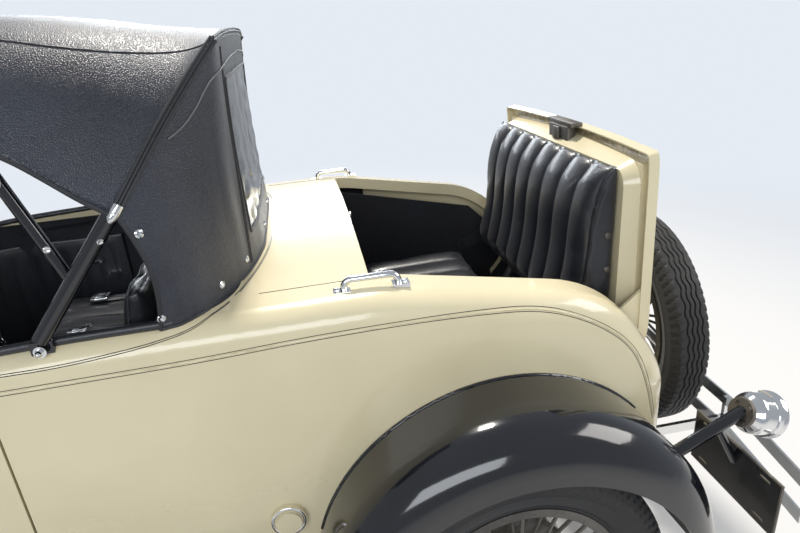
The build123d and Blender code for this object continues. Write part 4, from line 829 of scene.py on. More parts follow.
def lined_paint(name, rear_x, front_x, top_z, wall=0.020):
    """The cream paint, with the dark lining on faces that lie deeper than the wall inside the cabin."""
    material = cream_paint.copy()
    material.name = name
    tree = material.node_tree
    shader = next(node for node in tree.nodes if node.type == "BSDF_PRINCIPLED")
    here = object_place(tree)
    parts = tree.nodes.new("ShaderNodeSeparateXYZ")
    link(tree, here, parts.inputs[0])
    x, y, z = parts.outputs
    past = math_node(tree, "MAXIMUM", math_node(tree, "SUBTRACT", x, TAPER_FROM), 0.0)
    skin = math_node(tree, "SUBTRACT", SKIN_Y - wall, math_node(tree, "MULTIPLY", past, TAPER_SLOPE))
    deep = math_node(tree, "LESS_THAN", math_node(tree, "ABSOLUTE", y), skin)
    low = math_node(tree, "LESS_THAN", z, top_z)
    ahead = math_node(tree, "GREATER_THAN", x, rear_x)
    behind = math_node(tree, "LESS_THAN", x, front_x)
    inside = math_node(tree, "MULTIPLY", math_node(tree, "MULTIPLY", deep, low),
                       math_node(tree, "MULTIPLY", ahead, behind))
    cloth = place_group(tree, mottle, Vector=here, Light=(0.012, 0.013, 0.018, 1),
                        Dark=(0.006, 0.007, 0.010, 1), Scale=14)
    painted = shader.inputs["Base Color"].links[0].from_socket
    link(tree, mix_colours(tree, inside, painted, cloth.outputs["Color"]), shader.inputs["Base Color"])
    gloss = shader.inputs["Roughness"].links[0].from_socket
    link(tree, math_node(tree, "ADD", gloss, math_node(tree, "MULTIPLY", inside, 0.55), True),
         shader.inputs["Roughness"])
    link(tree, math_node(tree, "MULTIPLY", math_node(tree, "SUBTRACT", 1.0, inside), 0.6),
         shader.inputs["Coat Weight"])
    return material


cabin_paint = lined_paint("cabin_paint", at(160, 0, 0).x, at(1835, 0, 0).x, 1.078)
give_finishes({cabin_paint: ["cowl", "rear_body", "rear_deck", "door_left", "door_right"]})
print("lined panels finished")

# %% [markdown]
# Seats. Each pad starts as a plain block a little smaller than the space that its CAD solid holds. It is
# meshed evenly and blown up by a short cloth simulation, as a filled cover is, and no point may move more
# than a cap, so that the pad stays in its place. The sewn channels are pressed in afterwards, because
# the even mesh would lose them.

# %% Padding by simulation
PAD_PRESSURE, PAD_FRAMES = 4.0, 20


def baked(piece):
    """The piece's mesh with its modifiers applied, as a new bmesh."""
    graph = bpy.context.evaluated_depsgraph_get()
    mesh = bpy.data.meshes.new_from_object(piece.evaluated_get(graph), depsgraph=graph)
    bm = bmesh.new()
    bm.from_mesh(mesh)
    bpy.data.meshes.remove(mesh)
    return bm


def filled_cover(bm, voxel, cap, settle=6):
    """Blows a closed form up as a filled cover and gives back its smoother bmesh."""
    bmesh.ops.recalc_face_normals(bm, faces=bm.faces)
    mesh = bpy.data.meshes.new("cover")
    bm.to_mesh(mesh)
    bm.free()
    cover = bpy.data.objects.new("cover", mesh)
    bpy.context.scene.collection.objects.link(cover)
    even = cover.modifiers.new("even", "REMESH")
    even.mode, even.voxel_size = "VOXEL", voxel
    bm = baked(cover)
    for _ in range(settle):
        bmesh.ops.smooth_vert(bm, verts=bm.verts, factor=0.5, use_axis_x=True, use_axis_y=True,
                              use_axis_z=True)
    bpy.data.objects.remove(cover)
    bm.normal_update()
    starts = [v.co.copy() for v in bm.verts]
    mesh = bpy.data.meshes.new("cover_even")
    bm.to_mesh(mesh)
    cover = bpy.data.objects.new("cover_even", mesh)
    bpy.context.scene.collection.objects.link(cover)
    blow = cover.modifiers.new("fill", "CLOTH")
    blow.settings.use_pressure = True
    blow.settings.uniform_pressure_force = PAD_PRESSURE
    blow.settings.effector_weights.gravity = 0
    blow.point_cache.frame_start, blow.point_cache.frame_end = 1, PAD_FRAMES
    for number in range(1, PAD_FRAMES + 1):
        bpy.context.scene.frame_set(number)
    graph = bpy.context.evaluated_depsgraph_get()
    blown = cover.evaluated_get(graph).data
    moves = [b.co - a for a, b in zip(starts, blown.vertices)]
    bpy.data.objects.remove(cover)
    bpy.context.scene.frame_set(1)
    for vertex, start, move in zip(bm.verts, starts, moves):
        vertex.co = start + move * min(1.0, cap / max(move.length, 1e-9))
    bmesh.ops.subdivide_edges(bm, edges=bm.edges, cuts=1, use_grid_fill=True, smooth=0.6)
    bm.normal_update()
    return bm


def block_form(points, half):
    """A side profile drawn out to both sides of the centre plane."""
    bm = bmesh.new()
    flat = [bm.verts.new(at(x, -half, z)) for x, z in points]
    face = bm.faces.new(flat)
    made = bmesh.ops.extrude_face_region(bm, geom=[face])
    shift = Vector((0, 2 * half * MM, 0))
    bmesh.ops.translate(bm, vec=shift, verts=[g for g in made["geom"] if isinstance(g, bmesh.types.BMVert)])
    return bm


def press_channels(bm, half, count, depth, facing):
    """Presses sewn channels that run up the pad: deep narrow lines with full rolls between them."""
    width = 2 * half / count
    for vertex in bm.verts:
        towards = vertex.normal.dot(facing)
        if towards <= 0.05:
            continue
        y = vertex.co.y / MM
        if abs(y) > half + width / 2:
            continue
        place = (y + half) / width
        nearest = abs(place - round(place)) * 2
        roll = math.sqrt(max(0.0, 1 - (1 - nearest) ** 2.0))
        strength = min(1.0, towards * 2.5)
        vertex.co -= vertex.normal * depth * MM * (1 - roll) * strength
    bm.normal_update()


print("padding helpers ready")

# %% [markdown]
# The rumble seat's back hangs on the open lid: eight rolls run up its front and over its rounded top. Its
# sides are plain, with a twin seam along the front edge and two buttons that hold the cover.

# %% Pads of the rumble seat
BACK_REST = [(-290, 1010), (-298, 1152), (-314, 1226), (-334, 1280), (-356, 1304), (-374, 1306), (-376, 1292),
             (-375, 1250), (-374, 900), (-372, 868), (-356, 858), (-302, 818), (-250, 848)]
BACK_REST_HALF, ROLL_HALF, ROLLS = 421, 400, 8


def closed_round(points, rounds=3):
    """Cuts the corners of a closed chain of (x, z) points several times."""
    for _ in range(rounds):
        cut = []
        for (x0, z0), (x1, z1) in zip(points, points[1:] + points[:1]):
            cut.append((x0 * 0.75 + x1 * 0.25, z0 * 0.75 + z1 * 0.25))
            cut.append((x0 * 0.25 + x1 * 0.75, z0 * 0.25 + z1 * 0.75))
        points = cut
    return points


def laid(tree, points, lift):
    """Points moved onto the nearest place of a surface and lifted off it."""
    line = []
    for point in points:
        place, normal, _, _ = tree.find_nearest(point)
        line.append(place + normal * lift)
    return line


def seam_cords(bm, tree, points, radius=0.0016, lift=0.0004):
    tube(bm, laid(tree, points, lift), radius)


def stitch_row(bm, tree, points, pitch=0.009, size=(0.0055, 0.0012)):
    """Separate short stitches along a line on a surface."""
    total = sum((b - a).length for a, b in zip(points, points[1:]))
    count = int(total / pitch)
    for number in range(count):
        ends = [blend_line(points, (number + part) / count) for part in (0.2, 0.8)]
        tube(bm, laid(tree, ends, 0.0004), size[1] / 2, sides=4, smooth=False)


rest = filled_cover(block_form(closed_round(BACK_REST, 2), BACK_REST_HALF), 0.0085, 0.010)
FORWARD_UP = Vector((1, 0, 0.45)).normalized()
press_channels(rest, ROLL_HALF, ROLLS, 15, FORWARD_UP)
rest_tree = BVHTree.FromBMesh(rest)
rest_pad = finish_piece("rumble_back_pad", rest, seat_vinyl, "rumble_lid", 75, recalc=False)
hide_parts("rumble_back")
seams = bmesh.new()
front_line = [(-248, 850), (-262, 930), (-283, 1010), (-292, 1100), (-300, 1156), (-322, 1232), (-345, 1286),
              (-372, 1302)]
for flank in (1, -1):
    for inset, out in ((0, 6), (-9, 12)):
        points = [at(x + (4 if inset else 0), flank * (BACK_REST_HALF + out), z) for x, z in front_line]
        seam_cords(seams, rest_tree, rounded_line([p + Vector((inset * MM, 0, 0)) for p in points], 2))
    stitches = rounded_line([at(x - 5, flank * (BACK_REST_HALF + 12), z) for x, z in front_line], 2)
    stitch_row(seams, rest_tree, stitches)
rest_seams = finish_piece("rumble_back_seams", seams, binding, "rumble_lid", 60)
studs = bmesh.new()
for flank in (1, -1):
    for x, z in ((-358, 1120), (-362, 1027)):
        place, normal, _, _ = rest_tree.find_nearest(at(x, flank * 470, z))
        turned(studs, [(0.000, 0.0105), (0.002, 0.0100), (0.004, 0.0070), (0.0048, 0.0)], place, normal, 20)
rest_studs = finish_piece("rumble_back_buttons", studs, dark_metal, "rumble_lid", 50)
print("rumble back", len(rest_pad.data.polygons), "faces")

CUSHION = [(-196, 699), (232, 699), (232, 792), (214, 806), (-180, 816), (-197, 802)]
bench = filled_cover(block_form(closed_round(CUSHION, 1), 431), 0.010, 0.012)
press_channels(bench, 410, 8, 12, Vector((0.2, 0, 1)).normalized())
bench_pad = finish_piece("rumble_bench_pad", bench, seat_vinyl, "chassis", 75, recalc=False)
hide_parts("rumble_cushion")
print("rumble bench", len(bench_pad.data.polygons), "faces")

# %% [markdown]
# The cabin's bench and back are made the same way. The back's rolls face forwards and its rear is plain.

# %% Pads of the cabin
BODY_PAD_HALF = 526
SEAT = [(888, 649), (1362, 649), (1362, 778), (1330, 790), (900, 768), (888, 754)]
BACK = [(780, 649), (862, 649), (868, 772), (796, 1178), (778, 1190), (752, 1188), (750, 1160)]
seat = filled_cover(block_form(closed_round(SEAT, 1), BODY_PAD_HALF), 0.010, 0.012)
press_channels(seat, 500, 10, 12, Vector((0.15, 0, 1)).normalized())
seat_tree = BVHTree.FromBMesh(seat)
seat_pad = finish_piece("seat_cushion_pad", seat, seat_vinyl, "chassis", 75, recalc=False)
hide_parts("seat_cushion")
back_rest = filled_cover(block_form(closed_round(BACK, 1), BODY_PAD_HALF - 5), 0.010, 0.010)
press_channels(back_rest, 500, 10, 12, Vector((1, 0, 0.3)).normalized())
back_rest_tree = BVHTree.FromBMesh(back_rest)
back_pad = finish_piece("seat_back_pad", back_rest, seat_vinyl, "chassis", 75, recalc=False)
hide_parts("seat_back")
seams = bmesh.new()
for flank in (1, -1):
    line = [at(x, flank * 536, z) for x, z in ((864, 700), (866, 780), (830, 990), (797, 1176))]
    seam_cords(seams, back_rest_tree, rounded_line(line, 2), 0.0028)
seam_cords(seams, back_rest_tree, [at(796, -528 + 1056 * i / 40, 1192) for i in range(41)], 0.0028)
cabin_piping = finish_piece("seat_back_piping", seams, binding, "chassis", 60)
print("cabin pads", len(seat_pad.data.polygons), len(back_pad.data.polygons))

# %% [markdown]
# A tyre of this age has four wavy grooves between its ribs, and slanted slots in its shoulders. The
# section is spun once round the hub, with the grooves already in it, and then every ring of points is
# swung from side to side by the same wave. One mesh is made and set down five times.

# %% Tyres
TYRE_R, TREAD_HALF = 368, 45
WAVES, STEPS_A_WAVE, WAVE_SIDE = 44, 8, 2.6
GROOVE_DEPTH, GROOVE_HALF = 7.5, 2.2
GROOVES = (-24, -8, 8, 24)
WAVE = (-1.0, -1.0, -0.9, 0.2, 1.0, 1.0, 0.9, -0.2)
TYRE_SIDE = [(238, 39), (257, 41), (262, 46), (266, 43.5), (284, 54), (300, 58.2), (303, 59.4), (306, 58.6),
             (326, 59.6), (334, 59.2), (341, 58.0), (347, 56.0), (354, 53), (361, 49)]


def tyre_mesh():
    """A tyre about the Y axis at the origin, as a mesh."""
    line = [(r, y) for r, y in TYRE_SIDE] + [(TYRE_R - 3.0, TREAD_HALF), (TYRE_R - 1.8, 36)]
    for centre in reversed(GROOVES):
        for shift, depth in ((GROOVE_HALF + 0.6, 0), (GROOVE_HALF - 0.6, GROOVE_DEPTH),
                             (-GROOVE_HALF + 0.6, GROOVE_DEPTH), (-GROOVE_HALF - 0.6, 0)):
            crown = 2.2 * (abs(centre + shift) / TREAD_HALF) ** 2
            line.append((TYRE_R - crown - depth, centre + shift))
    line += [(TYRE_R - 1.8, -36), (TYRE_R - 3.0, -TREAD_HALF)] + [(r, -y) for r, y in reversed(TYRE_SIDE)]
    bm = bmesh.new()
    points = [bm.verts.new((r * MM, y * MM, 0)) for r, y in line]
    edges = [bm.edges.new(pair) for pair in zip(points, points[1:])]
    edges.append(bm.edges.new((points[-1], points[0])))
    bmesh.ops.spin(bm, geom=points + edges, cent=(0, 0, 0), axis=(0, 1, 0), angle=math.tau,
                   steps=WAVES * STEPS_A_WAVE, use_merge=True)
    bmesh.ops.remove_doubles(bm, verts=bm.verts, dist=1e-5)
    for vertex in bm.verts:
        r = math.hypot(vertex.co.x, vertex.co.z) / MM
        y = vertex.co.y / MM
        count = round(math.atan2(vertex.co.z, vertex.co.x) / math.tau * WAVES * STEPS_A_WAVE)
        if r > 355 and abs(y) < 40:
            reach = min(1.0, (38 - min(38, abs(y))) / 8)
            vertex.co.y += WAVE_SIDE * WAVE[count % STEPS_A_WAVE] * reach * MM
        if 340 < r < 367 and abs(y) > 44:
            # A slot every half wave, whose place moves along with the distance from the edge of the tread.
            slant = {53: 0, 49: 0, 56: 1, 58: 1, 45: 3}.get(round(abs(y)), 0)
            if (count + slant) % 4 == 0:
                scale = (r - 4.5) / r
                vertex.co.x *= scale
                vertex.co.z *= scale
                vertex.co.y -= math.copysign(2.6, y) * MM
    bmesh.ops.recalc_face_normals(bm, faces=bm.faces)
    mesh = bpy.data.meshes.new("tyre")
    bm.to_mesh(mesh)
    bm.free()
    return mesh


tyre_model = tyre_mesh()
TYRE_PLACES = {"tyre_" + wheel: (*place, 0) for wheel, place in WHEEL_PLACES.items()}
TYRE_PLACES["spare_tyre"] = (*SPARE_PLACE, 90)
for node, (x, y, z, turn_by) in TYRE_PLACES.items():
    mesh = tyre_model.copy()
    mesh.transform(Matrix.Translation(at(x, y, z)) @ Matrix.Rotation(math.radians(turn_by), 4, "Z"))
    mesh.materials.append(rubber)
    mesh.polygons.foreach_set("use_smooth", [True] * len(mesh.polygons))
    mesh.set_sharp_from_angle(angle=math.radians(28))
    piece = bpy.data.objects.new("tread_" + node, mesh)
    bpy.context.scene.collection.objects.link(piece)
    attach(piece, "chassis" if node == "spare_tyre" else node.replace("tyre", "wheel"))
    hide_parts(node)
print("tyres", len(tyre_model.polygons), "faces each")

# %% [markdown]
# Each wheel has a bright hub cap in a ring of five nuts, all of them turned pieces.

# %% Hub caps
CAP_LINE = [(30, 0.0), (30, 0.058), (36, 0.0575), (41, 0.053), (50, 0.0445), (57, 0.036), (63, 0.027),
            (66, 0.014), (67, 0.0)]
NUT_LINE = [(-4, 0.0), (-4, 0.0085), (6, 0.0085), (9, 0.006), (10, 0.0)]
for wheel, (x, y, z) in WHEEL_PLACES.items():
    body, out = "wheel_" + wheel, math.copysign(1, y)
    caps = bmesh.new()
    turned(caps, [(a * MM, r) for a, r in CAP_LINE], at(x, y, z), (0, out, 0), 48)
    for number in range(5):
        angle = math.tau * number / 5
        spot = at(x + 47 * math.cos(angle), y + out * 34, z + 47 * math.sin(angle))
        turned(caps, [(a * MM, r * 0.55) for a, r in NUT_LINE], spot, (0, out, 0), 6)
    piece = finish_piece("hub_cap_" + body, caps, chrome, body, 30)
spare_caps = bmesh.new()
turned(spare_caps, [(a * MM, r) for a, r in CAP_LINE], at(*SPARE_PLACE), (-1, 0, 0), 48)
piece = finish_piece("hub_cap_spare", spare_caps, chrome, "chassis", 30)
print("hub caps made")

# %% [markdown]
# The cream body carries a raised bead along its belt with a thin dark line on each side, and a twin line
# round the rim of the cockpit. Each line is laid on the skin that it belongs to, so it rides with a door
# where it crosses one.

# %% Beads and lines
BELT = [(-430, 660), (-390, 796), (-341, 903), (-235, 987), (-112, 1040), (58, 1058), (226, 1066),
        (439, 1061), (644, 1049), (840, 1045), (1027, 1041), (1300, 1036), (1650, 1028), (1850, 1016)]
BELT_PARTS = [("rear_body", "chassis", -430, 1053), ("door", "door", 1064, 1640),
              ("cowl", "chassis", 1656, 1842)]
SKINS = {name: surface_of(name) for name in ("rear_body", "cowl", "door_left", "door_right")}
DARK_LINE_OFF = 5.2


def belt_points(flank, first, last, shift, tree, steps=60):
    """Places on the skin along the belt line, shifted up or down by some millimetres."""
    chain = rounded_line([Vector((x, 0, z)) for x, z in BELT], 3)
    inside = [p for p in chain if first <= p.x <= last]
    line = []
    for number in range(steps + 1):
        spot = blend_line(inside, number / steps)
        before, after = max(0, number / steps - 0.01), min(1, number / steps + 0.01)
        ahead = blend_line(inside, after) - blend_line(inside, before)
        side = Vector((-ahead.z, 0, ahead.x)).normalized() * shift
        start = at(spot.x + side.x, 900 * flank, spot.z + side.z)
        hit = tree.ray_cast(start, Vector((0, -flank, 0)))[0]
        if hit:
            line.append(hit)
    return line


for flank, hand in ((1, "left"), (-1, "right")):
    for skin, body, first, last in BELT_PARTS:
        name = skin + "_" + hand if skin == "door" else skin
        ride_on = "door_" + hand if body == "door" else body
        bead, lines = bmesh.new(), bmesh.new()
        tube(bead, belt_points(flank, first, last, 0, SKINS[name]), 0.0026)
        for shift in (DARK_LINE_OFF, -DARK_LINE_OFF):
            tube(lines, belt_points(flank, first, last, shift, SKINS[name]), 0.0009, sides=4)
        piece = finish_piece("belt_bead_" + skin + "_" + hand, bead, cream_paint, ride_on, 60)
        piece = finish_piece("belt_lines_" + skin + "_" + hand, lines, stripe_paint, ride_on, 60)

RIM_LINE = [(1045, 606, 1079), (929, 606, 1080), (829, 606, 1088), (734, 604, 1099), (650, 596, 1118),
            (600, 545, 1124), (573, 505, 1126), (534, 410, 1133), (499, 271, 1142), (491, 120, 1149),
            (490, 0, 1152)]
skin = surface_of("rear_body", "rear_deck")
lines = bmesh.new()
for flank in (1, -1):
    for shift in (0.0, 0.006):
        chain = rounded_line([at(x, y * flank, z) for x, y, z in RIM_LINE], 3)
        spread = [blend_line(chain, i / 80) + Vector((-shift * 0.6, 0, -shift * 0.8)) for i in range(81)]
        tube(lines, laid(skin, spread, 0.0), 0.0011, sides=4)
    seam = [at(x, 500 * flank, 1400) for x in range(282, 520, 6)]
    hits = [skin.ray_cast(p, Vector((0, 0, -1)))[0] for p in seam]
    tube(lines, [h for h in hits if h], 0.0010, sides=4)
rim_lines = finish_piece("rim_lines", lines, stripe_paint, "chassis", 60)

# %% [markdown]
# A black padded roll caps the inner edge of the cabin's rim and goes on along each door's top. A black
# welt fills the joint between the body and each rear fender.

# %% Cockpit roll and welts
ROLL_R = 0.0105


def inner_top(tree, x, flank):
    """The innermost place on top of the rim at one station, or None."""
    best = None
    for step in range(70):
        hit = tree.ray_cast(at(x, (608 - step * 2) * flank, 1400), Vector((0, 0, -1)))[0]
        if hit and hit.z > at(0, 0, 1062).z and (best is None or abs(hit.z - best.z) < 0.008):
            best = hit
        elif best is not None:
            break
    return best


for flank, hand in ((1, "left"), (-1, "right")):
    for skin_name, body, first, last in (("rear_body", "chassis", 690, 1058), ("door", "door", 1067, 1560)):
        name = skin_name + "_" + hand if skin_name == "door" else skin_name
        spots = [inner_top(SKINS[name], first + (last - first) * i / 40, flank) for i in range(41)]
        line = [s + Vector((0, 0.006 * flank, 0.003)) for s in spots if s]
        roll_bm = bmesh.new()
        tube(roll_bm, line, ROLL_R, sides=12)
        piece = finish_piece("cockpit_roll_" + skin_name + "_" + hand, roll_bm, seat_vinyl,
                             "door_" + hand if body == "door" else body, 60)
welts = bmesh.new()
side_skin, fender_skin = surface_of("rear_body"), surface_of("rear_fenders")
for flank in (1, -1):
    line = []
    for step in range(90):
        angle = math.radians(22 + step * 1.5)
        out = Vector((math.cos(angle), 0, math.sin(angle)))
        spot = at(530 * out.x, 900 * flank, AXLE_Z + 530 * out.z)
        hit = side_skin.ray_cast(spot, Vector((0, -flank, 0)))[0]
        if hit and abs(hit.y) > 0.56:
            beside = at(0, 0, AXLE_Z) + Vector((0, hit.y + 0.003 * flank, 0))
            edge = fender_skin.ray_cast(beside + out * 0.62, -out)[0]
            if edge:
                line.append(edge)
    tube(welts, line, 0.0042)
piece = finish_piece("fender_welts", welts, black_paint, "chassis", 60)
print("belt and rim lines, roll and welts made", len(line))

# %% [markdown]
# Small bright and dark fittings of the rear: domed screws on the handles' feet, the filler's ring, rivets
# and acorn nuts on the top's irons, and the lid's latch with its striker. Round ones are turned from a
# profile, and the latch is a few bevelled blocks.

# %% Rear fittings
SCREW = [(-0.001, 0.0), (-0.001, 0.0055), (0.0006, 0.0053), (0.0018, 0.0030), (0.0021, 0.0)]
ACORN = [(-0.004, 0.0), (-0.004, 0.0105), (0.005, 0.0105), (0.0055, 0.0085), (0.011, 0.0072),
         (0.0145, 0.0038), (0.0155, 0.0)]
WASHER = [(-0.004, 0.0), (-0.004, 0.0145), (-0.0022, 0.0145), (-0.0018, 0.0)]
bright = bmesh.new()
deck_skin = surface_of("grab_handles")
for flank in (1, -1):
    for end in (-1, 1):
        foot = at(272 + end * 76, 538 * flank, 1200)
        for side_step in (-8, 8):
            hit = deck_skin.ray_cast(foot + Vector((0, side_step * MM, 0)), Vector((0, 0, -1)))[0]
            if hit:
                turned(bright, SCREW, hit, (0, 0, 1), 16)
turned(bright, [(0.0, 0.040), (0.0145, 0.0405), (0.0158, 0.0385), (0.0158, 0.035), (0.0150, 0.0335)],
       at(526, 613, 600), (0, 1, 0), 48)
RIVET = [(-0.002, 0.0), (-0.002, 0.0068), (0.0012, 0.0064), (0.0022, 0.0045), (0.0012, 0.0022), (0.0014, 0.0)]
iron_skin = surface_of("top_irons")
for x, z in ((775, 1321), (874, 1315)):
    for flank in (1, -1):
        place, normal, _, _ = iron_skin.ray_cast(at(x, 700 * flank, z), Vector((0, -flank, 0)))
        if place:
            turned(bright, RIVET, place, normal, 18)
for flank in (1, -1):
    turned(bright, [(a - 0.002, r * 0.85) for a, r in ACORN], at(937, 606 * flank, 1114), (0, flank, 0), 6)
    turned(bright, [(a, r * 0.85) for a, r in WASHER], at(937, 607 * flank, 1114), (0, flank, 0), 20)
fittings = finish_piece("rear_fittings", bright, chrome, "chassis", 35)


def slab(bm, low, high, bevel=2.0, segments=2):
    """A bevelled block between two corners, in drawing millimetres."""
    made = bmesh.ops.create_cube(bm, size=1)
    a, b = at(*low), at(*high)
    bmesh.ops.scale(bm, vec=b - a, verts=made["verts"])
    bmesh.ops.translate(bm, vec=(a + b) / 2, verts=made["verts"])
    edges = list({e for v in made["verts"] for e in v.link_edges})
    bmesh.ops.bevel(bm, geom=edges, offset=bevel * MM, offset_type="OFFSET", affect="EDGES",
                    segments=segments, profile=0.5, material=-1)


latch = bmesh.new()
slab(latch, (-424, -66, 1284), (-396, 66, 1340), 5, 3)
slab(latch, (-436, -84, 1338), (-398, 84, 1352), 3)
slab(latch, (-397, -18, 1296), (-386, 18, 1334), 3)
latch_piece = finish_piece("lid_latch", latch, dark_metal, "rumble_lid", 40)
striker = bmesh.new()
slab(striker, (262, -30, 1118), (276, 30, 1126), 1.5)
tube(striker, [at(270, -16, 1122), at(262, -16, 1140), at(262, 16, 1140), at(270, 16, 1122)], 0.0035)
striker_piece = finish_piece("lid_striker", striker, steel, "chassis", 40)
print("fittings made")

# %% [markdown]
# The tail lamp is a plated cup with a red lens behind a bright rim, on a dark flange that four bolts hold.
# The plate below is bare black sheet with a rolled edge and four slots.

# %% Tail lamp and plate
LAMP_TOP, LAMP_RIM = at(-560, 666, 722), at(-684, 651, 677)
lamp_way = (LAMP_RIM - LAMP_TOP).normalized()
rim = bmesh.new()
turned(rim, [(-0.010, 0.0565), (-0.002, 0.0600), (0.003, 0.0600), (0.0055, 0.0570), (0.0045, 0.0520),
             (-0.001, 0.0500)], LAMP_RIM, lamp_way, 64)
lamp_rim = finish_piece("tail_lamp_rim", rim, chrome, "chassis", 50)
lens = bmesh.new()
rings = [(0.0005 + (0.0010 if i % 2 else 0.0) + 0.010 * math.cos(math.pi / 2 * i / 20), 0.0505 * i / 20)
         for i in range(20, -1, -1)]
turned(lens, [(-0.001, 0.0505)] + rings, LAMP_RIM, lamp_way, 64)
lamp_lens = finish_piece("tail_lamp_lens", lens, red_lens, "chassis", 20)
flange = bmesh.new()
back_end = LAMP_RIM - lamp_way * 0.085
turned(flange, [(-0.006, 0.0), (-0.006, 0.036), (0.002, 0.038), (0.003, 0.0)], back_end, lamp_way, 40)
across_way = lamp_way.cross(Vector((0, 0, 1))).normalized()
up_way = across_way.cross(lamp_way)
for number in range(4):
    angle = math.tau * (number + 0.5) / 4
    spot = back_end + (across_way * math.cos(angle) + up_way * math.sin(angle)) * 0.029
    turned(flange, [(-0.013, 0.0), (-0.013, 0.005), (-0.006, 0.005), (-0.006, 0.0)], spot, lamp_way, 6)
lamp_flange = finish_piece("tail_lamp_flange", flange, dark_metal, "chassis", 40)

plate = bmesh.new()
plate_corners = [at(-603, 512, 457), at(-603, 818, 457), at(-603, 818, 608), at(-603, 512, 608)]
tube(plate, plate_corners, 0.0036, closed=True, smooth=False)
for y in (560, 770):
    for z in (475, 590):
        slab(plate, (-608.4, y - 16, z - 3.5), (-597.6, y + 16, z + 3.5), 1.2, 1)
plate_edge = finish_piece("plate_edge", plate, dark_metal, "chassis", 40)
print("lamp and plate made")

# %% [markdown]
# The lid's inner side has seen damp: brown dirt lies along the top of its channel and fades down the
# sides. The paint is the same cream. The lid's arms and the inner faces of its lower end, which sits in
# the well, are coloured near-black.

# %% Worn paint of the lid
DIRT = (0.105, 0.062, 0.030, 1)


def between(tree, value, low, high, soft):
    """1 between two values of a socket, falling to 0 over the soft distance on both sides."""
    up = math_node(tree, "DIVIDE", math_node(tree, "SUBTRACT", value, low - soft), soft, True)
    down = math_node(tree, "DIVIDE", math_node(tree, "SUBTRACT", high + soft, value), soft, True)
    return math_node(tree, "MULTIPLY", up, down)


lid_paint = cream_paint.copy()
lid_paint.name = "lid_paint"
tree = lid_paint.node_tree
shader = next(node for node in tree.nodes if node.type == "BSDF_PRINCIPLED")
here = object_place(tree)
parts = tree.nodes.new("ShaderNodeSeparateXYZ")
link(tree, here, parts.inputs[0])
x, y, z = parts.outputs
wide = math_node(tree, "ABSOLUTE", y)
# The outer side stays clean, so only faces that look forwards while the lid is open take dirt or black.
facing = tree.nodes.new("ShaderNodeSeparateXYZ")
link(tree, tree.nodes.new("ShaderNodeTexCoord").outputs["Normal"], facing.inputs[0])
inner_side = math_node(tree, "GREATER_THAN", facing.outputs["X"], 0.25)
deep = math_node(tree, "MULTIPLY", math_node(tree, "LESS_THAN", x, at(-434, 0, 0).x), inner_side)
top_run = between(tree, z, 1.300, 1.334, 0.006)
side_run = math_node(tree, "MULTIPLY", between(tree, wide, 0.456, 0.474, 0.004),
                     between(tree, z, 1.19, 1.33, 0.12))
patches = noise(tree, here, 30, 7, 0.66)
amount = math_node(tree, "MULTIPLY", math_node(tree, "SUBTRACT", patches, 0.36), 3.4, True)
runs = math_node(tree, "MAXIMUM", top_run, math_node(tree, "MULTIPLY", side_run, 0.5))
damp = math_node(tree, "MULTIPLY", runs, math_node(tree, "MULTIPLY", deep, amount))
painted = shader.inputs["Base Color"].links[0].from_socket
stained = mix_colours(tree, math_node(tree, "MULTIPLY", damp, 0.8), painted, DIRT)
in_well = math_node(tree, "MULTIPLY", math_node(tree, "LESS_THAN", z, 0.800), inner_side)
arm = math_node(tree, "MULTIPLY", between(tree, wide, 0.465, 0.483, 0.001),
                math_node(tree, "MULTIPLY", math_node(tree, "GREATER_THAN", x, at(-330, 0, 0).x),
                          math_node(tree, "LESS_THAN", z, 1.04)))
dark = math_node(tree, "MAXIMUM", in_well, arm)
link(tree, mix_colours(tree, dark, stained, (0.010, 0.011, 0.015, 1)), shader.inputs["Base Color"])
gloss = shader.inputs["Roughness"].links[0].from_socket
dull = math_node(tree, "MULTIPLY", math_node(tree, "MAXIMUM", damp, dark), 0.4)
link(tree, math_node(tree, "ADD", gloss, dull, True), shader.inputs["Roughness"])
give_finishes({lid_paint: ["rumble_lid"]})
print("lid finished")

# %% [markdown]
# The radiator's core is a honeycomb of thin brass cells with painted shade between them, and the running
# board is black rubber with ribs that run along it. Both are patterns of the surface, so they are made in
# the material.

# %% Core and board finishes
def ribbed(name, colour, rough, axis, pitch, depth, second=None, metallic=0.0):
    """Rounded ribs on one or two axes, as height; painted shade between them on metal, dust otherwise."""
    material, tree, shader = new_material(name)
    here = object_place(tree)
    parts = tree.nodes.new("ShaderNodeSeparateXYZ")
    link(tree, here, parts.inputs[0])
    height = None
    for use in [axis] + ([second] if second is not None else []):
        wave = math_node(tree, "SINE", math_node(tree, "MULTIPLY", parts.outputs[use], math.tau / pitch))
        rib = math_node(tree, "ADD", math_node(tree, "MULTIPLY", wave, 0.5), 0.5)
        height = rib if height is None else math_node(tree, "MULTIPLY", height, rib)
    low = math_node(tree, "SUBTRACT", 1.0, height, True)
    drift = noise(tree, here, 20, 5)
    dust_and_shade = math_node(tree, "MULTIPLY", math_node(tree, "MULTIPLY", low, drift), 1.2, True)
    # On a metal finish the grooves get a darker copy of its own colour, which is painted shade; on the board
    # they get dust.
    dark = tuple(c * 0.25 for c in colour[:3]) + (1,)
    link(tree, mix_colours(tree, dust_and_shade, colour, dark if metallic else DUSTY), shader.inputs["Base Color"])
    link(tree, math_node(tree, "ADD", rough, math_node(tree, "MULTIPLY", drift, 0.25), True),
         shader.inputs["Roughness"])
    link(tree, bump(tree, height, 1.0, depth), shader.inputs["Normal"])
    shader.inputs["Metallic"].default_value = metallic
    return material


core_brass = ribbed("core_brass", (0.10, 0.085, 0.06, 1), 0.45, 1, 0.0085, 0.004, 2, 1.0)
board_rubber = ribbed("board_rubber", (0.018, 0.018, 0.018, 1), 0.5, 1, 0.0125, 0.003)
give_finishes({core_brass: ["radiator_core"], board_rubber: ["running_boards"]})
print("core and board finished")

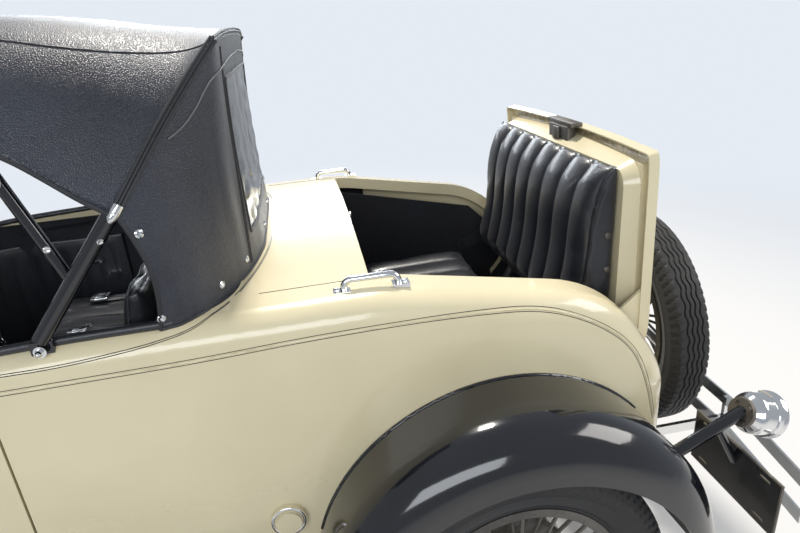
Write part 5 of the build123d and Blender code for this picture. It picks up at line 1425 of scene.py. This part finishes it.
# %% [markdown]
# Bright strips edge each board, and the hood has a row of pressed louvres with a small latch at each end.
# A louvre is a quarter of a thin shell, and the same loop shapes all of them along the hood's slope.

# %% Boards, louvres and latches
HOOD_REAR, HOOD_FRONT = (1850, 470), (2579, 288)
HOOD_LENGTH = HOOD_FRONT[0] - HOOD_REAR[0]
LOUVRE_COUNT, LOUVRE_PITCH, LOUVRE_Z, LOUVRE_HALF_H = 20, 22, 830, 92
# Along a louvre's height: the place from -1 to 1 and how far the shell stands out there.
LOUVRE_RISE = ((-1.0, 0.0), (-0.94, 0.9), (-0.6, 1.0), (0.6, 1.0), (0.94, 0.9), (1.0, 0.0))

for flank, hand in ((1, "left"), (-1, "right")):
    strips = bmesh.new()
    for z in (398, 379):
        tube(strips, [at(x, 838 * flank, z) for x in (500, 1300, 1952)], 0.0042, smooth=False)
    piece = finish_piece("board_strips_" + hand, strips, chrome, "chassis", 60)

    lips = bmesh.new()
    slope = (HOOD_FRONT[1] - HOOD_REAR[1]) / HOOD_LENGTH
    first = (1856 + 2573) / 2 - LOUVRE_PITCH * (LOUVRE_COUNT - 1) / 2
    for number in range(LOUVRE_COUNT):
        x = first + number * LOUVRE_PITCH
        y = (HOOD_REAR[1] - 4) + (x - HOOD_REAR[0]) * ((HOOD_FRONT[1] - 2) - (HOOD_REAR[1] - 4)) / HOOD_LENGTH
        rows = []
        for step in range(5):
            share = step / 4
            rise = 5.5 * math.sin(share * math.pi / 2)
            skin_y = y + 0.3 - (share * 13 - 5) * slope
            rows.append([lips.verts.new(at(x + 5 - share * 13, (skin_y + rise * end) * flank,
                                           LOUVRE_Z + LOUVRE_HALF_H * high)) for high, end in LOUVRE_RISE])
        for a, b in zip(rows, rows[1:]):
            for i in range(5):
                lips.faces.new((a[i], a[i + 1], b[i + 1], b[i]))
    piece = finish_piece("louvres_" + hand, lips, cream_paint, "hood_" + hand, 40)
    thicken(piece, 0.0012)

    latches = bmesh.new()
    for x in (1950, 2470):
        y = 466 + (x - 1850) * slope
        turned(latches, [(-0.004, 0.0), (-0.004, 0.011), (0.004, 0.011), (0.006, 0.007), (0.016, 0.006),
                         (0.020, 0.0)], at(x, (y + 4) * flank, 668), (0, flank, 0), 20)
        tube(latches, [at(x, (y + out) * flank, z) for out, z in ((16, 666), (20, 690), (14, 712))], 0.0042)
    piece = finish_piece("hood_latches_" + hand, latches, chrome, "hood_" + hand, 40)
print("boards and hood trimmed")

# %% [markdown]
# A headlamp's lens has upright flutes that spread its light, behind a bright rim, and a bulb stands in
# front of the mirror inside the bowl.

# %% Headlamps
LAMP_X, LAMP_Y, LAMP_Z, LENS_R = 2747, 330, 930, 109
for flank, hand in ((1, "left"), (-1, "right")):
    centre = at(LAMP_X, LAMP_Y * flank, LAMP_Z)
    rims = bmesh.new()
    turned(rims, [(0.044, 0.1185), (0.052, 0.1200), (0.060, 0.1190), (0.0625, 0.1150), (0.0600, 0.1090),
                  (0.0545, 0.1075)], centre, (1, 0, 0), 96)
    turned(rims, [(-0.060, 0.0), (-0.058, 0.0080), (-0.055, 0.0200), (-0.020, 0.0770), (0.020, 0.1000),
                  (0.042, 0.1085)], centre, (1, 0, 0), 64)
    turned(rims, [(-0.012, 0.0), (-0.012, 0.0120), (0.004, 0.0120), (0.006, 0.0080), (0.006, 0.0)],
           centre, (1, 0, 0), 24)
    piece = finish_piece("headlamp_rim_" + hand, rims, chrome, "chassis", 30)
    bulb = bmesh.new()
    turned(bulb, [(0.006, 0.0), (0.006, 0.0070), (0.014, 0.0120), (0.024, 0.0130), (0.032, 0.0095),
                  (0.036, 0.0)], centre, (1, 0, 0), 24)
    piece = finish_piece("headlamp_bulb_" + hand, bulb, lens_glass, "chassis", 40)
    flutes = bmesh.new()

    def lens_place(u, v, flank=flank):
        angle, r = math.tau * u, LENS_R * max(v, 0.002)
        y, z = r * math.cos(angle), r * math.sin(angle)
        bulge = 9.0 * (1 - (r / LENS_R) ** 2)
        flute = 0.9 * abs(math.sin(y / 9.0 * math.pi)) * min(1.0, (1 - v) * 12)
        return at(LAMP_X + 52.5 + bulge + flute, LAMP_Y * flank + y, LAMP_Z + z)

    grid_form(flutes, 120, 40, lens_place)
    piece = finish_piece("headlamp_lens_" + hand, flutes, lens_glass, "chassis", 30)
    thicken(piece, 0.003, -1)
    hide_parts("headlamp_lenses")
print("headlamps made")

# %% [markdown]
# Each bumper's two bars are held by domed bolts, four in front and four behind. The radiator has a plain
# turned cap with a bar through it, and the horn an open mouth.

# %% Bolts, radiator cap and horn
FRONT_BAR_X, REAR_BAR_X, BOLT_Y = 3239, -800, 500
# How far the bar has bent back where its bolts sit.
bar_back = 8 + (BOLT_Y - 420) / 340 * 52
BOLT = [(-0.004, 0.0), (-0.004, 0.0150), (0.0005, 0.0150), (0.0032, 0.0110), (0.0040, 0.0)]
front = bmesh.new()
for z in (427, 528):
    for y in (-BOLT_Y, BOLT_Y):
        turned(front, BOLT, at(FRONT_BAR_X - bar_back, y, z), (1, 0, 0), 20)
        turned(front, BOLT, at(REAR_BAR_X + bar_back, y, z), (-1, 0, 0), 20)
bolts = finish_piece("bumper_bolts", front, chrome, "chassis", 40)

cap = bmesh.new()
turned(cap, [(-0.004, 0.026), (0.002, 0.0375), (0.008, 0.0385), (0.014, 0.0375), (0.019, 0.0350),
             (0.024, 0.0240), (0.028, 0.0120), (0.030, 0.0)], at(2623, 0, 1082), (0, 0, 1), 48)
tube(cap, [at(2623, -46, 1096), at(2623, 46, 1096)], 0.0048, smooth=False)
cap_piece = finish_piece("radiator_cap", cap, chrome, "chassis", 35)
horn = bmesh.new()
turned(horn, [(0.0842, 0.0655), (0.0850, 0.0660), (0.0835, 0.0620), (0.0500, 0.0350), (0.0200, 0.0180),
              (0.0100, 0.0)], at(2737, 270, 695), (1, 0, 0), 48)
horn_piece = finish_piece("horn_mouth", horn, black_paint, "chassis", 40)
print("front made")

# %% [markdown]
# The windscreen has a wiper at its top and a small mirror inside, and each door a turned handle outside
# and a trim panel with a pull strap inside. All ride with what carries them.

# %% Doors and windscreen fittings
DOOR_HALF, DOOR_WALL = 605, 41
for flank, hand in ((1, "left"), (-1, "right")):
    handle = bmesh.new()
    turned(handle, [(-0.004, 0.0), (-0.004, 0.019), (0.003, 0.0185), (0.006, 0.012), (0.010, 0.0085),
                    (0.030, 0.0080), (0.034, 0.0)], at(1118, 613 * flank, 968), (0, flank, 0), 32)
    tube(handle, [at(1110, 641 * flank, 968), at(1140, 646 * flank, 968), at(1180, 645 * flank, 965),
                  at(1212, 636 * flank, 962)], 0.0072)
    piece = finish_piece("door_handle_" + hand, handle, chrome, "door_" + hand, 40)
    card = bmesh.new()

    def card_place(u, v, flank=flank):
        x, z = 1085 + u * 500, 600 + v * 400
        skin_half = DOOR_HALF - 0.314 * max(0.0, x - 1420)
        edge = min(1.0, 14 * min(u, 1 - u, v, 1 - v))
        pleat = 2.2 * abs(math.sin(u * math.pi * 9)) if 0.12 < v < 0.88 else 1.2
        return at(x, (skin_half - DOOR_WALL - 3 * edge - pleat * edge) * flank, z)

    grid_form(card, 90, 40, card_place)
    piece = finish_piece("door_card_" + hand, card, seat_vinyl, "door_" + hand, 50)
    thicken(piece, 0.002)
    pull = bmesh.new()
    inner = (DOOR_HALF - DOOR_WALL - 12) * flank
    turned(pull, [(0.0, 0.0), (0.0, 0.012), (0.010, 0.010), (0.014, 0.006), (0.014, 0.0)],
           at(1180, inner, 905), (0, -flank, 0), 24)
    lever = ((1180, 10, 905), (1215, 14, 905), (1245, 12, 900))
    tube(pull, [at(x, inner - out * flank, z) for x, out, z in lever], 0.005)
    turned(pull, [(0.0, 0.0), (0.0, 0.011), (0.016, 0.009), (0.018, 0.0)], at(1330, inner, 860),
           (0, -flank, 0), 24)
    tube(pull, [at(1330, inner - 14 * flank, 860), at(1330, inner - 18 * flank, 815)], 0.0045)
    turned(pull, [(-0.008, 0.0), (-0.008, 0.007), (0.010, 0.009), (0.018, 0.007), (0.020, 0.0)],
           at(1330, inner - 14 * flank, 815), (0, -flank, 0), 20)
    piece = finish_piece("door_pulls_" + hand, pull, chrome, "door_" + hand, 40)

wiper = bmesh.new()
turned(wiper, [(-0.004, 0.0), (-0.004, 0.012), (0.010, 0.012), (0.012, 0.008), (0.012, 0.0)],
       at(1652, 250, 1640), (1, 0, 0.1), 20)
tube(wiper, [at(1664, 250, 1640), at(1676, 240, 1540), at(1684, 225, 1440)], 0.0028)
tube(wiper, [at(1672, 232, 1570), at(1692, 215, 1300)], 0.0036, smooth=False)
piece = finish_piece("wiper", wiper, dark_metal, "chassis", 40)
mirror = bmesh.new()
slab(mirror, (1612, -72, 1560), (1620, 72, 1606), 3)
tube(mirror, [at(1620, 0, 1600), at(1634, 0, 1625), at(1640, 0, 1640)], 0.005)
piece = finish_piece("cabin_mirror", mirror, chrome, "chassis", 40)
print("doors and windscreen fitted")

# %% [markdown]
# Four dials sit on the dash. Their faces are plain, with nine strokes and a hand each, and no words.

# %% Dials
DIALS = [(-78, 1000, 34), (0, 1010, 26), (62, 1000, 30), (0, 962, 20)]
dial_face = bmesh.new()
bezels = bmesh.new()
hands = bmesh.new()
for y, z, r in DIALS:
    centre = at(1646, y, z)
    turned(bezels, [(-0.002, r * MM), (0.004, (r + 1.5) * MM), (0.007, r * MM), (0.006, (r - 3) * MM),
                    (0.003, (r - 4) * MM)], centre, (-1, 0, 0), 48)
    turned(dial_face, [(0.001, (r - 3) * MM), (0.0014, 0.0)], centre, (-1, 0, 0), 48)
    for number in range(9):
        angle = math.radians(-210 + number * 30)
        inner = centre + Vector((-0.0022, math.cos(angle) * (r - 10) * MM, math.sin(angle) * -(r - 10) * MM))
        outer = centre + Vector((-0.0022, math.cos(angle) * (r - 6) * MM, math.sin(angle) * -(r - 6) * MM))
        tube(hands, [inner, outer], 0.0005, sides=4, smooth=False)
    tip = centre + Vector((-0.0032, -0.4 * r * MM, 0.5 * r * MM))
    tube(hands, [centre + Vector((-0.0032, 0, 0)), tip], 0.0007, sides=4, smooth=False)
for name, bm, finish, slot_name in (("dial_bezels", bezels, chrome, "bright"),
                                    ("dial_faces", dial_face, stripe_paint, "fender_black"),
                                    ("dial_marks", hands, cream_paint, "body_cream")):
    piece = finish_piece(name, bm, finish, "chassis", 40)
print("dials", len(DIALS))

# %% [markdown]
# The steering wheel's rim has a finger grip every ten degrees and a horn button in the middle. They ride
# on the wheel and turn with it.

# %% Grips and horn button
COLUMN_TOP, COLUMN_FOOT = at(1300, 330, 1062), at(1985, 330, 640)
wheel_way = (COLUMN_TOP - COLUMN_FOOT).normalized()
wheel_side = Vector((0, 1, 0))
wheel_up = wheel_way.cross(wheel_side).normalized()
grips = bmesh.new()
for number in range(36):
    angle = math.tau * number / 36
    spot = COLUMN_TOP + (wheel_side * math.cos(angle) + wheel_up * math.sin(angle)) * 0.203
    along = (wheel_up * math.cos(angle) - wheel_side * math.sin(angle))
    turned(grips, [(-0.008, 0.0118), (-0.005, 0.0132), (0.0, 0.0137), (0.005, 0.0132), (0.008, 0.0118)],
           spot, along, 12)
piece = finish_piece("wheel_grips", grips, black_paint, "steering_wheel", 60)
button = bmesh.new()
turned(button, [(0.014, 0.0300), (0.018, 0.0290), (0.021, 0.0240), (0.022, 0.0150), (0.026, 0.0140),
                (0.028, 0.0080), (0.0285, 0.0)], COLUMN_TOP, wheel_way, 40)
piece = finish_piece("horn_button", button, chrome, "steering_wheel", 40)
print("wheel's grips made")

# %% [markdown]
# On the cabin's floor stand three pedals, a gear lever with its knob and a hand brake: bent bars with a
# bevelled block on each pedal.

# %% Pedals and levers
controls = bmesh.new()
for y in (250, 330, 405):
    tube(controls, [at(1760, y, 640), at(1700, y, 655), at(1672, y, 690)], 0.0065)
    slab(controls, (1660, y - 26, 676), (1672, y + 26, 722), 5, 2)
tube(controls, [at(1660, 0, 560), at(1640, 4, 640), at(1560, 16, 780), at(1520, 20, 850)], 0.0072)
tube(controls, [at(1700, -60, 560), at(1680, -60, 640), at(1610, -58, 790)], 0.0065)
piece = finish_piece("pedals_and_levers", controls, dark_metal, "chassis", 40)
knob = bmesh.new()
turned(knob, [(-0.022, 0.0), (-0.022, 0.008), (-0.010, 0.017), (0.004, 0.0205), (0.016, 0.0150),
              (0.021, 0.0)], at(1516, 20, 862), (-0.25, 0.03, 1), 32)
piece = finish_piece("gear_knob", knob, black_paint, "chassis", 60)
print("pedals and levers made")

# %% [markdown]
# Grey lap belts lie on the cushion, as in a car that is still driven. A belt's strip follows the pad
# below it, which a ray finds, and ends in a plated buckle.

# %% Lap belts
BELT_HALF = 24
BELT_LEAD = [(862, 800), (884, 800), (960, 806), (1040, 812), (1100, 817), (1150, 820)]
for flank, hand in ((1, "left"), (-1, "right")):
    for number, y in enumerate((480, 130)):
        web = bmesh.new()
        across_off = -46 if number == 0 else 46

        def web_place(u, v, y=y, across_off=across_off, flank=flank):
            spot = blend_line([at(x, 0, z) for x, z in BELT_LEAD], v)
            seat_hit = seat_tree.ray_cast(Vector((spot.x, (y + across_off * v) * flank * MM, spot.z + 0.3)),
                                          Vector((0, 0, -1)))[0]
            z = (seat_hit.z if seat_hit else spot.z) + 0.0028 + 0.0012 * math.sin(v * 14)
            return Vector((spot.x, ((y + across_off * v) + (u - 0.5) * 2 * BELT_HALF) * flank * MM, z))

        grid_form(web, 8, 60, web_place)
        piece = finish_piece(f"lap_belt_{hand}_{number}", web, webbing, "chassis", 60)
        thicken(piece, 0.0016)
        buckle = bmesh.new()
        end = web_place(0.5, 1.0)
        low = (end.x / MM - ORIGIN_X - 6, end.y / MM - 27, end.z / MM + 1)
        slab(buckle, low, (low[0] + 62, low[1] + 54, low[2] + 13), 4, 3)
        slab(buckle, (low[0] + 14, low[1] + 12, low[2] + 12), (low[0] + 48, low[1] + 42, low[2] + 16), 1.5, 1)
        piece = finish_piece(f"belt_buckle_{hand}_{number}", buckle, chrome, "chassis", 40)
print("lap belts laid")

# %% [markdown]
# Under the hood the engine is one block in the CAD. Its head gets rows of studs, plugs and a bright water
# outlet, and a four-bladed fan sits on the pulley in front: enough for a hood that is opened to look in.

# %% Engine dressing
HEAD_Z = 905
head = bmesh.new()
for y in (-78, 0, 78):
    for number in range(7):
        turned(head, [(-0.002, 0.0), (-0.002, 0.009), (0.007, 0.009), (0.008, 0.005), (0.016, 0.005),
                      (0.017, 0.0)], at(2030 + number * 68, y, HEAD_Z), (0, 0, 1), 6)
slab(head, (2010, 112, 640), (2470, 134, 720), 8, 3)
slab(head, (2040, 112, 480), (2440, 120, 600), 4, 2)
piece = finish_piece("head_studs", head, dark_metal, "chassis", 35)
plugs = bmesh.new()
for number in range(4):
    turned(plugs, [(-0.002, 0.0), (-0.002, 0.013), (0.010, 0.013), (0.011, 0.009), (0.034, 0.0065),
                   (0.038, 0.003), (0.046, 0.003), (0.047, 0.0)], at(2064 + number * 110, -40, HEAD_Z),
           (0, 0, 1), 16)
turned(plugs, [(-0.004, 0.0), (-0.004, 0.032), (0.014, 0.030), (0.018, 0.024), (0.060, 0.024), (0.062, 0.0)],
       at(2420, 40, HEAD_Z), (0.5, 0, 1), 32)
piece = finish_piece("plugs_and_outlet", plugs, steel, "chassis", 40)
pipes = bmesh.new()
for number in range(4):
    x = 2070 + number * 110
    tube(pipes, [at(x, 112, 800), at(x, 150, 800), at(x - 10, 172, 780)], 0.020, sides=16)
tube(pipes, [at(2440, 176, 778), at(2250, 178, 776), at(2060, 178, 770), at(2020, 176, 700),
             at(1985, 170, 590)], 0.027, sides=20)
piece = finish_piece("manifold", pipes, dark_metal, "chassis", 50)
fan = bmesh.new()
turned(fan, [(-0.012, 0.0), (-0.012, 0.045), (-0.004, 0.036), (0.004, 0.045), (0.010, 0.045), (0.014, 0.022),
             (0.030, 0.020), (0.032, 0.0)], at(2492, 0, 780), (1, 0, 0), 32)
for number in range(4):
    angle = math.tau * number / 4 + 0.4
    spoke = Vector((0, math.cos(angle), math.sin(angle)))
    side = Vector((0, -math.sin(angle), math.cos(angle)))
    corners = [(0.03, -0.016), (0.03, 0.016), (0.150, 0.034), (0.150, -0.034)]
    blade = [fan.verts.new(at(2506, 0, 780) + spoke * r + side * w + Vector((w * 0.45, 0, 0)))
             for r, w in corners]
    face = fan.faces.new(blade)
    made = bmesh.ops.extrude_face_region(fan, geom=[face])
    moved = [g for g in made["geom"] if isinstance(g, bmesh.types.BMVert)]
    bmesh.ops.translate(fan, vec=(0.002, 0, 0), verts=moved)
piece = finish_piece("fan", fan, black_paint, "chassis", 30)
print("engine dressed")
